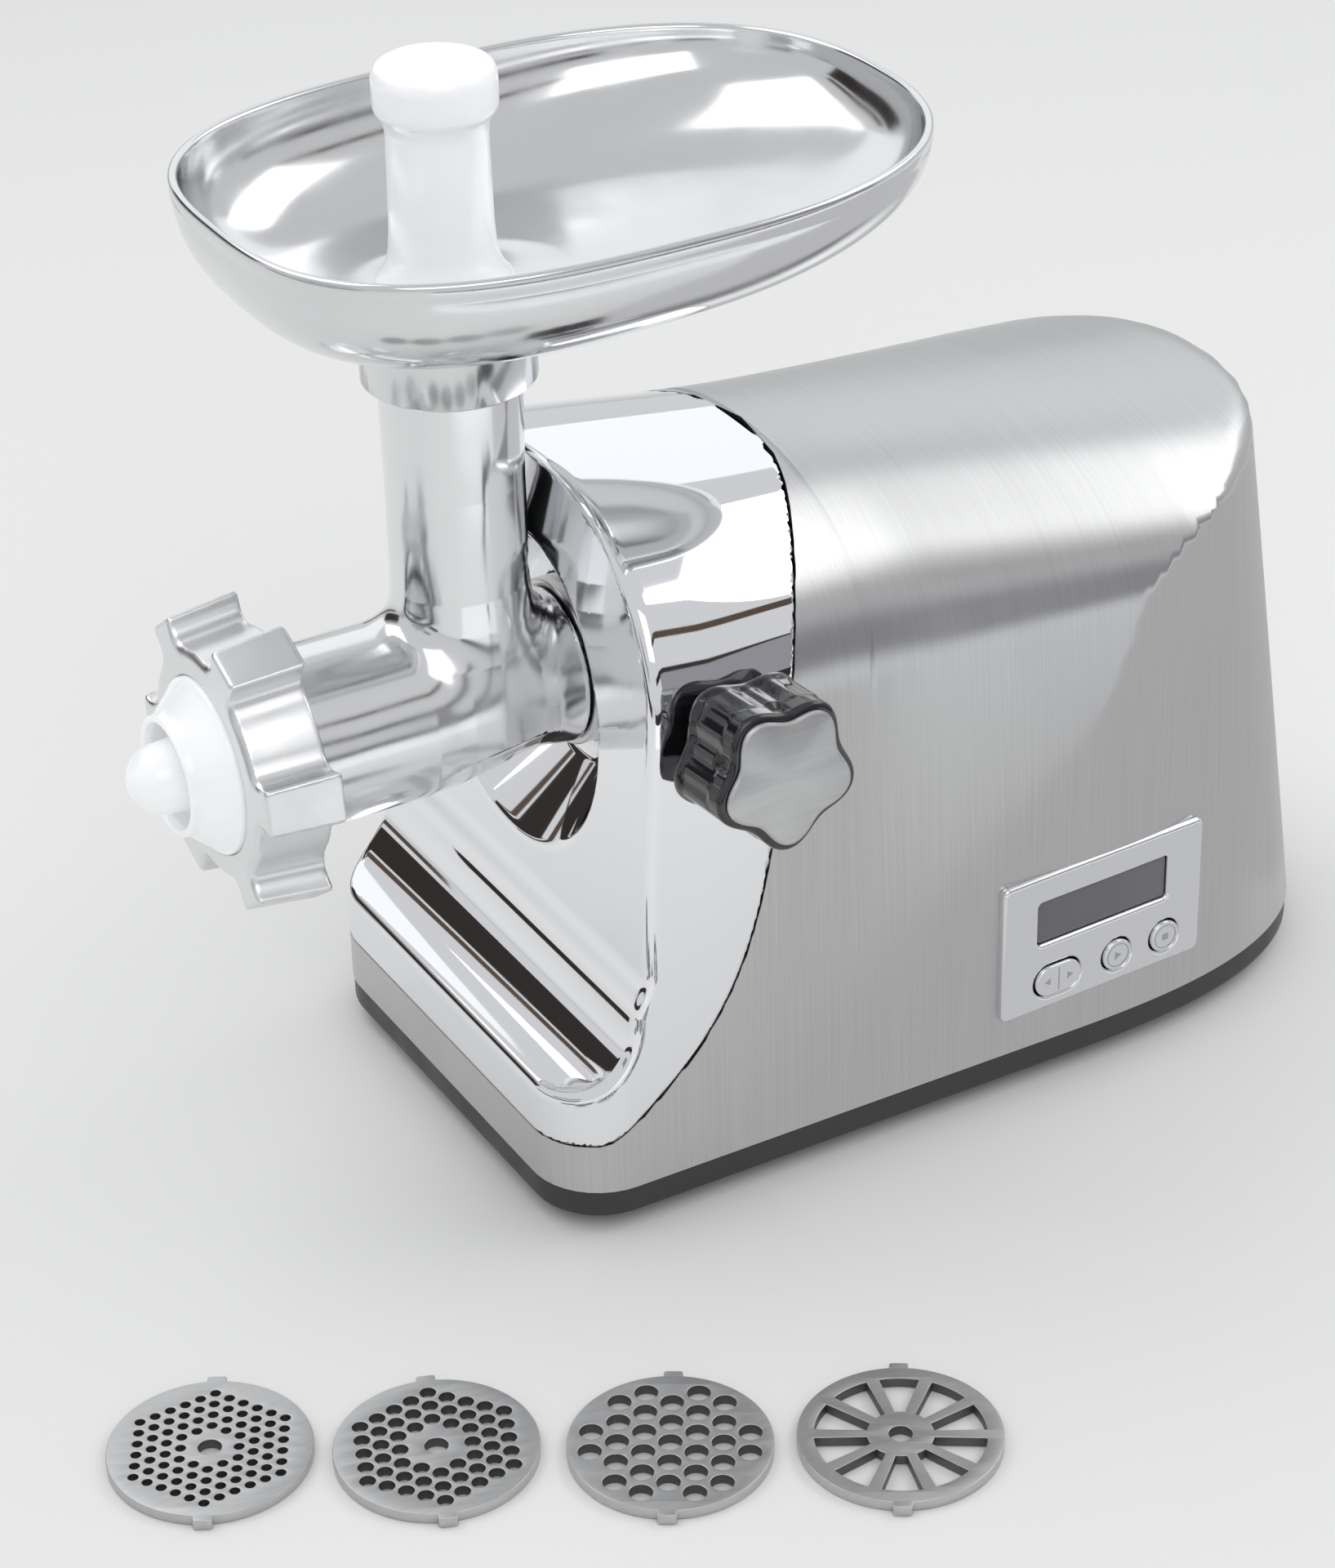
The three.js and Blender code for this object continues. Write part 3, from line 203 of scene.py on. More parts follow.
# ---- mesh helpers
def add_mesh(name, points, faces, body, slot, material, stands_for=(), smooth=True):
    """A mesh piece from machine millimetres, riding on a body."""
    mesh = bpy.data.meshes.new(name)
    mesh.from_pydata([tuple(p) for p in metres(points)], [], [tuple(int(i) for i in f) for f in faces])
    mesh.validate()
    mesh.update()
    piece = bpy.data.objects.new(name, mesh)
    bpy.context.scene.collection.objects.link(piece)
    if smooth:
        mesh.shade_smooth()
    mesh.materials.append(material)
    settle(piece, body, slot, stands_for)
    return piece


def settle(piece, body, slot, stands_for=()):
    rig.ride(piece, body)
    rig.slot(piece, slot)
    if stands_for:
        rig.replaces(piece, *stands_for)


def modify(piece, kind, **settings):
    modifier = piece.modifiers.new(kind.lower(), kind)
    for key, value in settings.items():
        setattr(modifier, key, value)
    return modifier





def grid_faces(rows, columns, closed=False, first=0):
    """Quads between neighbouring rows of points."""
    faces = []
    span = columns if closed else columns - 1
    for r in range(rows - 1):
        for c in range(span):
            n = (c + 1) % columns
            a, b = first + r * columns + c, first + r * columns + n
            faces.append((a, b, b + columns, a + columns))
    return faces


def frame_of(axis):
    """Two directions square to an axis, the first one level where it can be."""
    a = Vector(axis).normalized()
    level = Vector((1, 0, 0)) if abs(a.z) > 0.9 else a.cross(Vector((0, 0, 1))).normalized()
    return np.array(a), np.array(level), np.array(a.cross(level))


def lathe(name, profile, axis, origin, body, slot, material, stands_for=(), steps=96):
    """Turned piece: a profile of (radius, place along the axis), closed on itself or ending on the axis."""
    along, side, other = frame_of(axis)
    angle = np.arange(steps) * 2 * math.pi / steps
    round_it = np.outer(np.cos(angle), side) + np.outer(np.sin(angle), other)
    rings = [np.asarray(origin) + place * along + radius * round_it for radius, place in profile]
    faces = grid_faces(len(rings), steps, closed=True)
    piece = add_mesh(name, np.concatenate(rings), faces, body, slot, material, stands_for)
    tidy(piece)
    return piece


def tidy(piece, degrees=38):
    """Doubled points welded, faces turned outwards, edges sharp above an angle."""
    mesh = bmesh.new()
    mesh.from_mesh(piece.data)
    bmesh.ops.remove_doubles(mesh, verts=mesh.verts, dist=0.000004)
    bmesh.ops.recalc_face_normals(mesh, faces=mesh.faces)
    mesh.to_mesh(piece.data)
    mesh.free()
    piece.data.shade_smooth()
    piece.data.set_sharp_from_angle(angle=math.radians(degrees))


def rounded(profile, radius, steps=4):
    """A profile whose inner corners are replaced by short arcs; the ends stay."""
    points = [np.array(p, float) for p in profile]
    out = [points[0]]
    for before, corner, after in zip(points, points[1:], points[2:]):
        a, b = before - corner, after - corner
        reach = min(radius, np.linalg.norm(a) * 0.45, np.linalg.norm(b) * 0.45)
        start = corner + a / max(np.linalg.norm(a), 1e-9) * reach
        end = corner + b / max(np.linalg.norm(b), 1e-9) * reach
        for i in range(steps + 1):
            t = i / steps
            out.append((1 - t) ** 2 * start + 2 * t * (1 - t) * corner + t * t * end)
    out.append(points[-1])
    return np.array(out)


def resample(points, count):
    """Evenly spaced points along a polyline."""
    points = np.asarray(points, float)
    lengths = np.r_[0, np.cumsum(np.linalg.norm(np.diff(points, axis=0), axis=1))]
    targets = np.linspace(0, lengths[-1], count)
    return np.stack([np.interp(targets, lengths, points[:, k]) for k in range(points.shape[1])], 1)


def catmull(points, count):
    """Smooth curve through points."""
    p = np.asarray(points, float)
    padded = np.vstack([2 * p[0] - p[1], p, 2 * p[-1] - p[-2]])
    out = []
    for i in range(len(p) - 1):
        a, b, c, d = padded[i:i + 4]
        t = np.linspace(0, 1, 24, endpoint=i == len(p) - 2)[:, None]
        out.append(0.5 * (2 * b + (c - a) * t + (2 * a - 5 * b + 4 * c - d) * t ** 2
                          + (3 * b - a - 3 * c + d) * t ** 3))
    return resample(np.vstack(out), count)


def smooth_step(value, low, high):
    t = np.clip((value - low) / (high - low), 0, 1)
    return t * t * (3 - 2 * t)


def soft_max(a, b, k):
    blend = np.maximum(k - np.abs(a - b), 0) / k
    return np.maximum(a, b) + blend * blend * k / 4


def soft_min(a, b, k):
    return -soft_max(-a, -b, k)


def gradient(field, p, step=0.02):
    out = []
    for axis in range(3):
        shift = np.zeros(3)
        shift[axis] = step
        ahead, behind = p + shift, p - shift
        out.append((field(*ahead.T) - field(*behind.T)) / (2 * step))
    return np.stack(out, 1)


def project(field, points, rounds=4, longest=0.4):
    """Points moved along the slope of a field onto its zero surface."""
    p = np.asarray(points, float).copy()
    for _ in range(rounds):
        slope = gradient(field, p)
        value = field(*p.T)
        step = slope * (value / np.maximum((slope ** 2).sum(1), 1e-9))[:, None]
        length = np.linalg.norm(step, axis=1)[:, None]
        p -= step * np.minimum(1, longest / np.maximum(length, 1e-9))
    return p


def skin_of(field, low, high, cell):
    """Closed quad mesh of the zero surface of a field: one point in each crossed cell."""
    axes = [np.arange(a, b + cell, cell) for a, b in zip(low, high)]
    x, y, z = np.meshgrid(*axes, indexing='ij')
    value = field(x, y, z)
    inside = value < 0
    shape = tuple(n - 1 for n in inside.shape)
    total = np.zeros(shape + (3,))
    count = np.zeros(shape)
    grid = np.stack([x, y, z], -1)
    for axis in range(3):
        a = [slice(None)] * 3
        b = [slice(None)] * 3
        a[axis], b[axis] = slice(0, -1), slice(1, None)
        va, vb = value[tuple(a)], value[tuple(b)]
        crossed = inside[tuple(a)] != inside[tuple(b)]
        t = np.where(crossed, va / np.where(crossed, va - vb, 1), 0)
        place = grid[tuple(a)] + (grid[tuple(b)] - grid[tuple(a)]) * t[..., None]
        others = [k for k in range(3) if k != axis]
        for i in (0, 1):
            for j in (0, 1):
                cut = [slice(None)] * 3
                cut[others[0]] = slice(i, i + shape[others[0]])
                cut[others[1]] = slice(j, j + shape[others[1]])
                total += place[tuple(cut)] * crossed[tuple(cut)][..., None]
                count += crossed[tuple(cut)]
    used = count > 0
    index = -np.ones(shape, int)
    index[used] = np.arange(used.sum())
    points = total[used] / count[used][:, None]
    faces = []
    for axis in range(3):
        u, v = [k for k in range(3) if k != axis]
        a = [slice(1, -1)] * 3
        b = [slice(1, -1)] * 3
        a[axis], b[axis] = slice(0, -1), slice(1, None)
        first, second = inside[tuple(a)], inside[tuple(b)]
        for entering in (True, False):
            where = np.argwhere((first != second) & (first == entering))
            where[:, u] += 1
            where[:, v] += 1
            corners = []
            for du, dv in ((-1, -1), (0, -1), (0, 0), (-1, 0)):
                cell_at = where.copy()
                cell_at[:, u] += du
                cell_at[:, v] += dv
                corners.append(index[tuple(cell_at.T)])
            quad = np.stack(corners, 1)
            flip = entering == (axis == 1)
            faces.append(quad[:, ::-1] if flip else quad)
    return project(field, points, 3), np.vstack(faces)


def field_piece(name, field, low, high, cell, body, slot, material, stands_for=()):
    """Piece bounded by the zero surface of a field, shaded with the field's own slope."""
    points, faces = skin_of(field, low, high, cell)
    piece = add_mesh(name, points, faces, body, slot, material, stands_for)
    slope = gradient(field, points, 0.12)
    slope /= np.maximum(np.linalg.norm(slope, axis=1), 1e-9)[:, None]
    piece.data.normals_split_custom_set_from_vertices([tuple(n) for n in slope])
    return piece


def filled(name, loops, depth, edge, place, body, slot, material, stands_for=()):
    """Flat piece with holes: outlines filled, given a depth and rounded edges, then laid in place."""
    curve = bpy.data.curves.new(name, 'CURVE')
    curve.dimensions = '2D'
    curve.fill_mode = 'BOTH'
    curve.extrude = depth / 2 - edge
    curve.bevel_depth = edge
    curve.offset = -edge
    curve.bevel_resolution = 2
    for loop in loops:
        spline = curve.splines.new('POLY')
        spline.points.add(len(loop) - 1)
        for point, (x, y) in zip(spline.points, loop):
            point.co = (x, y, 0, 1)
        spline.use_cyclic_u = True
    holder = bpy.data.objects.new(name + "_outline", curve)
    bpy.context.scene.collection.objects.link(holder)
    flat = bpy.data.meshes.new_from_object(holder.evaluated_get(bpy.context.evaluated_depsgraph_get()))
    bpy.data.objects.remove(holder)
    local = np.array([v.co for v in flat.vertices]) + (0, 0, depth / 2)
    piece = add_mesh(name, place(local), [tuple(f.vertices) for f in flat.polygons], body, slot, material,
                     stands_for)
    tidy(piece, 50)
    return piece


def ring_outline(radius, count=48, centre=(0, 0)):
    angle = np.arange(count) * 2 * math.pi / count
    return [(centre[0] + radius * math.cos(a), centre[1] + radius * math.sin(a)) for a in angle]


def rounded_box(width, height, radius, centre=(0, 0), steps=10):
    points = []
    for quarter in range(4):
        sx, sy = (1, -1, -1, 1)[quarter], (1, 1, -1, -1)[quarter]
        for i in range(steps + 1):
            angle = quarter * math.pi / 2 + i / steps * math.pi / 2
            points.append((centre[0] + sx * (width / 2 - radius) + radius * math.cos(angle),
                           centre[1] + sy * (height / 2 - radius) + radius * math.sin(angle)))
    return points


def cut_away(piece, cutters):
    """The piece without the space of some closed meshes."""
    merged = bmesh.new()
    for mesh in cutters:
        merged.from_mesh(mesh)
    whole = bpy.data.meshes.new("cutter")
    merged.to_mesh(whole)
    merged.free()
    tool = bpy.data.objects.new("cutter", whole)
    bpy.context.scene.collection.objects.link(tool)
    modify(piece, 'BOOLEAN', operation='DIFFERENCE', solver='EXACT', object=tool)
    apply_modifiers(piece)
    bpy.data.objects.remove(tool)
    tidy(piece)


def apply_modifiers(piece):
    """Keeps the result of a piece's modifiers as its mesh."""
    graph = bpy.context.evaluated_depsgraph_get()
    graph.update()
    mesh = bpy.data.meshes.new_from_object(piece.evaluated_get(graph))
    piece.modifiers.clear()
    piece.data = mesh


def box_mesh(low, high, place=lambda p: p):
    mesh = bpy.data.meshes.new("box")
    corners = [(x, y, z) for z in (low[2], high[2])
               for x, y in ((low[0], low[1]), (high[0], low[1]), (high[0], high[1]), (low[0], high[1]))]
    faces = [(3, 2, 1, 0), (4, 5, 6, 7), (0, 1, 5, 4), (1, 2, 6, 5), (2, 3, 7, 6), (3, 0, 4, 7)]
    mesh.from_pydata([tuple(p) for p in metres(place(np.array(corners, float)))], [], faces)
    return mesh


def rod_mesh(radius, start, end, steps=48):
    along, side, other = frame_of(np.subtract(end, start))
    angle = np.arange(steps) * 2 * math.pi / steps
    circle = radius * (np.outer(np.cos(angle), side) + np.outer(np.sin(angle), other))
    mesh = bpy.data.meshes.new("rod")
    points = np.vstack([np.asarray(start) + circle, np.asarray(end) + circle])
    caps = [tuple(range(steps))[::-1], tuple(range(steps, 2 * steps))]
    mesh.from_pydata([tuple(p) for p in metres(points)], [], grid_faces(2, steps, True) + caps)
    return mesh


# ---- materials
def new_material(name, color, metallic, roughness, coat=0.0, coat_roughness=0.05, specular=0.5):
    material = bpy.data.materials.new(name)
    material.use_nodes = True
    shader = material.node_tree.nodes["Principled BSDF"]
    shader.inputs["Base Color"].default_value = (*color, 1)
    shader.inputs["Metallic"].default_value = metallic
    shader.inputs["Roughness"].default_value = roughness
    shader.inputs["Coat Weight"].default_value = coat
    shader.inputs["Coat Roughness"].default_value = coat_roughness
    shader.inputs["Specular IOR Level"].default_value = specular
    return material


def link(tree, source, output, target, socket):
    tree.links.new(source.outputs[output], target.inputs[socket])


def noise_node(material, scale, detail, stretch):
    """Noise in object space, in cycles for each metre along each axis times stretch."""
    tree = material.node_tree
    place = tree.nodes.new("ShaderNodeTexCoord")
    mapping = tree.nodes.new("ShaderNodeMapping")
    mapping.inputs["Scale"].default_value = stretch
    noise = tree.nodes.new("ShaderNodeTexNoise")
    noise.inputs["Scale"].default_value = scale
    noise.inputs["Detail"].default_value = detail
    link(tree, place, "Object", mapping, "Vector")
    link(tree, mapping, "Vector", noise, "Vector")
    return noise


def add_roughness(material, noise, low, high):
    tree = material.node_tree
    spread = tree.nodes.new("ShaderNodeMapRange")
    spread.inputs["From Min"].default_value = 0.3
    spread.inputs["From Max"].default_value = 0.7
    spread.inputs["To Min"].default_value = low
    spread.inputs["To Max"].default_value = high
    link(tree, noise, "Fac", spread, "Value")
    link(tree, spread, "Result", tree.nodes["Principled BSDF"], "Roughness")


def add_tint(material, noise, dark, light):
    tree = material.node_tree
    ramp = tree.nodes.new("ShaderNodeValToRGB")
    ramp.color_ramp.elements[0].position = 0.3
    ramp.color_ramp.elements[1].position = 0.7
    ramp.color_ramp.elements[0].color = (*dark, 1)
    ramp.color_ramp.elements[1].color = (*light, 1)
    link(tree, noise, "Fac", ramp, "Fac")
    link(tree, ramp, "Color", tree.nodes["Principled BSDF"], "Base Color")


def add_bump(material, noise, strength, distance=0.0002):
    tree = material.node_tree
    bump = tree.nodes.new("ShaderNodeBump")
    bump.inputs["Strength"].default_value = strength
    bump.inputs["Distance"].default_value = distance
    link(tree, noise, "Fac", bump, "Height")
    shader = tree.nodes["Principled BSDF"]
    if shader.inputs["Normal"].is_linked:
        link(tree, shader.inputs["Normal"].links[0].from_node, "Normal", bump, "Normal")
    link(tree, bump, "Normal", shader, "Normal")


def brushed_steel(name, tone, roughness, stretch, strength=0.12):
    material = new_material(name, (tone, tone, tone * 1.015), 1.0, roughness)
    lines = noise_node(material, 1.0, 3.0, stretch)
    add_bump(material, lines, strength, 0.00006)
    clouds = noise_node(material, 14.0, 2.0, (1, 1, 1))
    add_roughness(material, clouds, roughness - 0.03, roughness + 0.04)
    add_tint(material, lines, (tone * 0.95,) * 3, (tone * 1.04,) * 3)
    return material


def cast_metal(name, tone, low, high, wave=0.25):
    material = new_material(name, (tone, tone * 1.005, tone * 1.015), 1.0, (low + high) / 2)
    clouds = noise_node(material, 45.0, 3.0, (1, 1, 1))
    add_roughness(material, clouds, low, high)
    ripple = noise_node(material, 38.0, 1.0, (1, 1, 1))
    add_bump(material, ripple, wave, 0.0008)
    grain = noise_node(material, 2600.0, 2.0, (1, 1, 1))
    add_bump(material, grain, 0.05, 0.00004)
    return material


def moulded(name, color, roughness, coat=0.0, grain=0.03):
    material = new_material(name, color, 0.0, roughness, coat=coat)
    clouds = noise_node(material, 60.0, 2.0, (1, 1, 1))
    add_roughness(material, clouds, roughness * 0.85, roughness * 1.15)
    add_tint(material, clouds, tuple(c * 0.97 for c in color), tuple(min(1, c * 1.02) for c in color))
    fine = noise_node(material, 3500.0, 2.0, (1, 1, 1))
    add_bump(material, fine, grain, 0.00005)
    return material


def mirror_chrome():
    material = new_material("mirror_chrome", (0.88, 0.885, 0.90), 1.0, 0.03)
    haze = noise_node(material, 25.0, 2.0, (1, 1, 1))
    add_roughness(material, haze, 0.02, 0.055)
    ripple = noise_node(material, 16.0, 1.0, (1, 1, 1))
    add_bump(material, ripple, 0.05, 0.0008)
    return material


def painted_glow(material, strength):
    """Painted glow: a little light of its own, so the white plastic looks brighter than the lamps make it."""
    shader = material.node_tree.nodes["Principled BSDF"]
    shader.inputs["Emission Color"].default_value = (1, 1, 1, 1)
    shader.inputs["Emission Strength"].default_value = strength


steel_shell = brushed_steel("brushed_shell", 0.57, 0.30, (14, 1500, 14))
steel_cap = brushed_steel("brushed_cap", 0.55, 0.36, (900, 60, 900), 0.08)
steel_plate = brushed_steel("ground_plate", 0.54, 0.38, (500, 70, 500), 0.10)
# painted shade: dark steel for the walls of the plate holes, standing in for the shade inside them
painted_hole_shade = brushed_steel("painted_hole_shade", 0.16, 0.5, (400, 400, 400), 0.05)
machined = brushed_steel("machined_steel", 0.60, 0.25, (1500, 1500, 1500), 0.06)
chrome = mirror_chrome()
cast = cast_metal("polished_casting", 0.80, 0.10, 0.20)
ring_metal = cast_metal("satin_ring", 0.80, 0.24, 0.36, 0.18)
tray_metal = cast_metal("pressed_tray", 0.74, 0.10, 0.20, 0.10)
chrome_face = new_material("chrome_face", (0.80, 0.805, 0.82), 1.0, 0.12)
add_roughness(chrome_face, noise_node(chrome_face, 30.0, 2.0, (1, 1, 1)), 0.10, 0.16)
mark_grey = moulded("mark_grey", (0.33, 0.34, 0.36), 0.4)
black_base = moulded("black_moulding", (0.028, 0.028, 0.030), 0.42, grain=0.10)
black_gloss = moulded("black_gloss", (0.012, 0.012, 0.014), 0.14, coat=0.5, grain=0.0)
white_gloss = moulded("white_gloss", (0.93, 0.935, 0.95), 0.22, coat=0.3, grain=0.01)
# painted glow on the white plastic of the cone, former and pusher
painted_glow(white_gloss, 0.12)
soft_rubber = moulded("soft_rubber", (0.018, 0.018, 0.018), 0.75, grain=0.2)
lens = moulded("display_lens", (0.115, 0.115, 0.12), 0.10, coat=0.6, grain=0.0)
board_green = moulded("board", (0.03, 0.16, 0.07), 0.4)
copper_wire = cast_metal("copper_winding", 0.6, 0.3, 0.45)
nylon = moulded("nylon", (0.72, 0.68, 0.56), 0.45)
bronze = cast_metal("sintered_bronze", 0.5, 0.35, 0.5)
grey_moulding = moulded("grey_moulding", (0.09, 0.09, 0.10), 0.5)
carbon = moulded("carbon", (0.03, 0.03, 0.03), 0.6)
for tinted, color in ((copper_wire, (0.62, 0.30, 0.16)), (bronze, (0.55, 0.38, 0.16))):
    tinted.node_tree.nodes["Principled BSDF"].inputs["Base Color"].default_value = (*color, 1)


# ---- form of the housing
def tail_end(z):
    return LENGTH - TAIL_DRAFT * (z - SEAM_Z)


def tail_power(z):
    return TAIL_LOW + (TAIL_HIGH - TAIL_LOW) * (z - SEAM_Z) / (ROOF_FRONT - SEAM_Z)


def plan_field(x, y, z, inset=0.0):
    half = HALF_WIDTH - inset
    width = np.abs(x)
    nose = np.hypot(np.maximum(width - (HALF_WIDTH - CORNER), 0),
                    np.maximum(CORNER - y, 0)) - (CORNER - inset)
    nose = np.where(width < HALF_WIDTH - CORNER, inset - y, nose)
    power = tail_power(z)
    reach = tail_end(z) - TAIL_START - inset
    back = np.maximum(y - TAIL_START, 0) / reach
    tail = ((width / half) ** power + back ** power) ** (1 / power)
    return np.where(y < CORNER, nose, (tail - 1) * half)


def roof_height(y):
    return ROOF_FRONT - ROOF_FALL * (y - ROOF_Y) + ROOF_CURVE * (y - ROOF_Y) ** 2


def crease_height(y):
    return 27 + 0.58 * (y - 50) + 0.00095 * np.maximum(0, y - 50) ** 2


def lean_at(y):
    return 0.072 * smooth_step(y, 55, 140)


def arch_field(x, y, z):
    lean = lean_at(y)
    crease = np.minimum(crease_height(y), SPRING - 1)
    over = z - crease
    soft = 14 - 11 * smooth_step(y, 110, 220)
    width = HALF_WIDTH - lean * 0.5 * (over + np.sqrt(over ** 2 + soft ** 2))
    rise = np.maximum(z - SPRING, 0) / (roof_height(y) - SPRING)
    return (((np.abs(x) / width) ** ARCH + rise ** ARCH) ** (1 / ARCH) - 1) * width


def skin_field(x, y, z):
    k = 0.1 + 7.0 * smooth_step(y, 240, 275) * smooth_step(z, 165, 195)
    return soft_max(plan_field(x, y, z), arch_field(x, y, z), k)


def march(origin, direction, field, reach=420.0):
    """Distance from points inside a field to its surface along directions."""
    near = np.zeros(len(origin))
    far = np.full(len(origin), reach)
    for _ in range(40):
        middle = (near + far) / 2
        value = field(*(origin + direction * middle[:, None]).T)
        near = np.where(value < 0, middle, near)
        far = np.where(value < 0, far, middle)
    return near


def half_width(y, z):
    """Half the width of the housing at points of the side view."""
    y, z = np.broadcast_arrays(np.asarray(y, float), np.asarray(z, float))
    origin = np.stack([np.zeros(y.size), y.ravel(), z.ravel()], 1)
    return march(origin, np.tile((1.0, 0, 0), (y.size, 1)), skin_field, 120.0)


def wall_line(centre_y, heading):
    """Line on the skin in a vertical plane, from the seam with the base over to the middle of the roof."""
    turn_z = 100.0
    low = np.linspace(SEAM_Z, turn_z, 90, endpoint=False)
    origin = np.stack([np.zeros_like(low), np.full_like(low, centre_y), low], 1)
    direction = np.tile((math.cos(heading), math.sin(heading), 0.0), (len(low), 1))
    lower = origin + direction * march(origin, direction, skin_field)[:, None]
    angle = np.linspace(0, math.pi / 2, 240)
    origin = np.tile((0.0, centre_y, turn_z), (len(angle), 1))
    direction = np.stack([np.cos(angle) * math.cos(heading), np.cos(angle) * math.sin(heading),
                          np.sin(angle)], 1)
    upper = origin + direction * march(origin, direction, skin_field)[:, None]
    return np.vstack([lower, upper])


SEAM = catmull(SEAM_POINTS, 400)
roof_crossing = np.argmax(SEAM[:, 1] > roof_height(SEAM[:, 0]) - 0.02)
SEAM_END_Y = SEAM[roof_crossing, 0]
GAP = 0.25


def seam_z(y):
    return np.interp(y, SEAM[:, 0], SEAM[:, 1])


def mirrored(columns):
    """Columns of the right half, then those of the left half from the tail back to the front."""
    left = [c * (-1, 1, 1) for c in columns[::-1]]
    return columns + left


def shell():
    rows = 64
    columns = []
    for share in np.linspace(0, 1, 26):        # front band, along the straight and round the corner
        straight = HALF_WIDTH - CORNER
        run = share * (straight + CORNER * math.pi / 2)
        if run < straight:
            x, y = run, 0.0
        else:
            angle = (run - straight) / CORNER
            x, y = straight + CORNER * math.sin(angle), CORNER * (1 - math.cos(angle))
        columns.append(np.stack([np.full(rows, x), np.full(rows, y),
                                 np.linspace(SEAM_Z, seam_z(y) - GAP, rows)], 1))
    side = SEAM[(SEAM[:, 0] > CORNER + 0.5) & (SEAM[:, 0] < SEAM_END_Y)]
    side = resample(side, 84)
    for y, z in side[:-1]:
        line = wall_line(y + GAP, 0.0)
        kept = line[line[:, 2] <= z - GAP * 0.3]
        columns.append(resample(kept, rows))
    for y in np.linspace(SEAM_END_Y + GAP, 232, 44):
        columns.append(resample(wall_line(y, 0.0), rows))
    for share in np.linspace(0, 1, 60)[1:]:
        heading = share * math.pi / 2
        columns.append(resample(wall_line(232 + 6 * share, heading), rows))
    whole = mirrored(columns)
    piece = add_mesh("shell_skin", np.vstack(whole), grid_faces(len(whole), rows), "housing", "brushed_shell",
                     steel_shell, ["housing_shell"])
    tidy(piece, 60)
    modify(piece, 'SOLIDIFY', thickness=1.3 * MM, offset=-1)
    apply_modifiers(piece)
    vents = [box_mesh((i * 14 - 4, LENGTH - 60, 58), (i * 14 + 4, LENGTH + 10, 62)) for i in range(-2, 3)]
    panel = box_mesh((-PANEL_W / 2 + 1, -PANEL_H / 2 + 1, -6), (PANEL_W / 2 - 1, PANEL_H / 2 - 1, 8),
                     on_panel)
    gland = rod_mesh(GLAND_R + 0.3, (GLAND_X, LENGTH - 40, GLAND_Z), (GLAND_X, LENGTH + 10, GLAND_Z))
    cut_away(piece, [*vents, panel, gland])
    shade_skin(piece)


def shade_skin(piece):
    """Normals of the outer skin taken from the form itself; other faces keep their own."""
    mesh = piece.data
    shift = np.array((MIDDLE_X, TOE_Y, 0.0))
    points = (np.array([v.co for v in mesh.vertices]) - shift) / MM
    slope = gradient(skin_field, points, 0.1)
    slope /= np.maximum(np.linalg.norm(slope, axis=1), 1e-9)[:, None]
    on_skin = np.abs(skin_field(*points.T)) < 0.05
    normals = []
    for face in mesh.polygons:
        for index in face.vertices:
            fits = on_skin[index] and slope[index] @ np.array(face.normal) > 0.8
            normals.append(tuple(slope[index]) if fits else (0.0, 0.0, 0.0))
    mesh.normals_split_custom_set(normals)


# ---- control panel frame
PANEL_W, PANEL_H = 81.0, 51.0
PANEL_Y, PANEL_Z = 198.7, 55.0
WINDOW_W, WINDOW_H, WINDOW_RISE = 52.5, 16.0, 7.5
BUTTON_DROP, BUTTON_R = 15.2, 6.0
PILL_W, PILL_H, PILL_AT = 19.0, 12.0, -18.0
BUTTONS_AT = (6.2, 25.8)
front_x, rear_x = half_width([PANEL_Y - PANEL_W / 2, PANEL_Y + PANEL_W / 2], [PANEL_Z, PANEL_Z])
PANEL_TURN = math.atan2(front_x - rear_x, PANEL_W)
PANEL_ORIGIN = np.array(((front_x + rear_x) / 2, PANEL_Y, PANEL_Z))
PANEL_ALONG = np.array((-math.sin(PANEL_TURN), math.cos(PANEL_TURN), 0.0))
PANEL_OUT = np.array((math.cos(PANEL_TURN), math.sin(PANEL_TURN), 0.0))


def on_panel(points):
    """Panel coordinates (along, up, out) to machine millimetres."""
    p = np.asarray(points, float).reshape(-1, 3)
    return PANEL_ORIGIN + p[:, :1] * PANEL_ALONG + p[:, 1:2] * (0, 0, 1) + p[:, 2:] * PANEL_OUT


# ---- chrome front
PANEL_TOP_Z = 91.0
ROLL_RISE = 4.55
CLAMP_TILT = math.radians(6.3)
CLAMP_AXIS = np.array((math.cos(CLAMP_TILT), 0.0, math.sin(CLAMP_TILT)))
CLAMP_FROM = np.array((0.0, 61.0, HEAD_Z))
BUSH_R = 8.0


def front_line(z):
    """How far back the front face lies at a height above the trough's middle."""
    panel = 29.8 + 0.024 * (z - 115) + 0.000566 * (z - 115) ** 2
    roll = TROUGH + ROLL_RISE * smooth_step(z, LIP_Z + TROUGH, PANEL_TOP_Z)
    return np.where(z < PANEL_TOP_Z, roll, panel)


def front_field(y, z):
    """Below zero in the material behind the trough and the front face."""
    middle = LIP_Z + TROUGH
    trough = TROUGH - np.hypot(np.maximum(y, -4), np.minimum(z, middle) - middle)
    face = front_line(np.maximum(z, middle)) - y
    upper = np.where(z < middle, trough, face)
    return np.where(z < LIP_Z - 8, -8.0, upper)


def along_clamp(x, y, z):
    px, py, pz = x - CLAMP_FROM[0], y - CLAMP_FROM[1], z - CLAMP_FROM[2]
    reach = px * CLAMP_AXIS[0] + pz * CLAMP_AXIS[2]
    off = np.sqrt(np.maximum(px ** 2 + py ** 2 + pz ** 2 - reach ** 2, 0))
    return reach, off


SEAM_SLOPE = np.gradient(SEAM[:, 1], SEAM[:, 0])


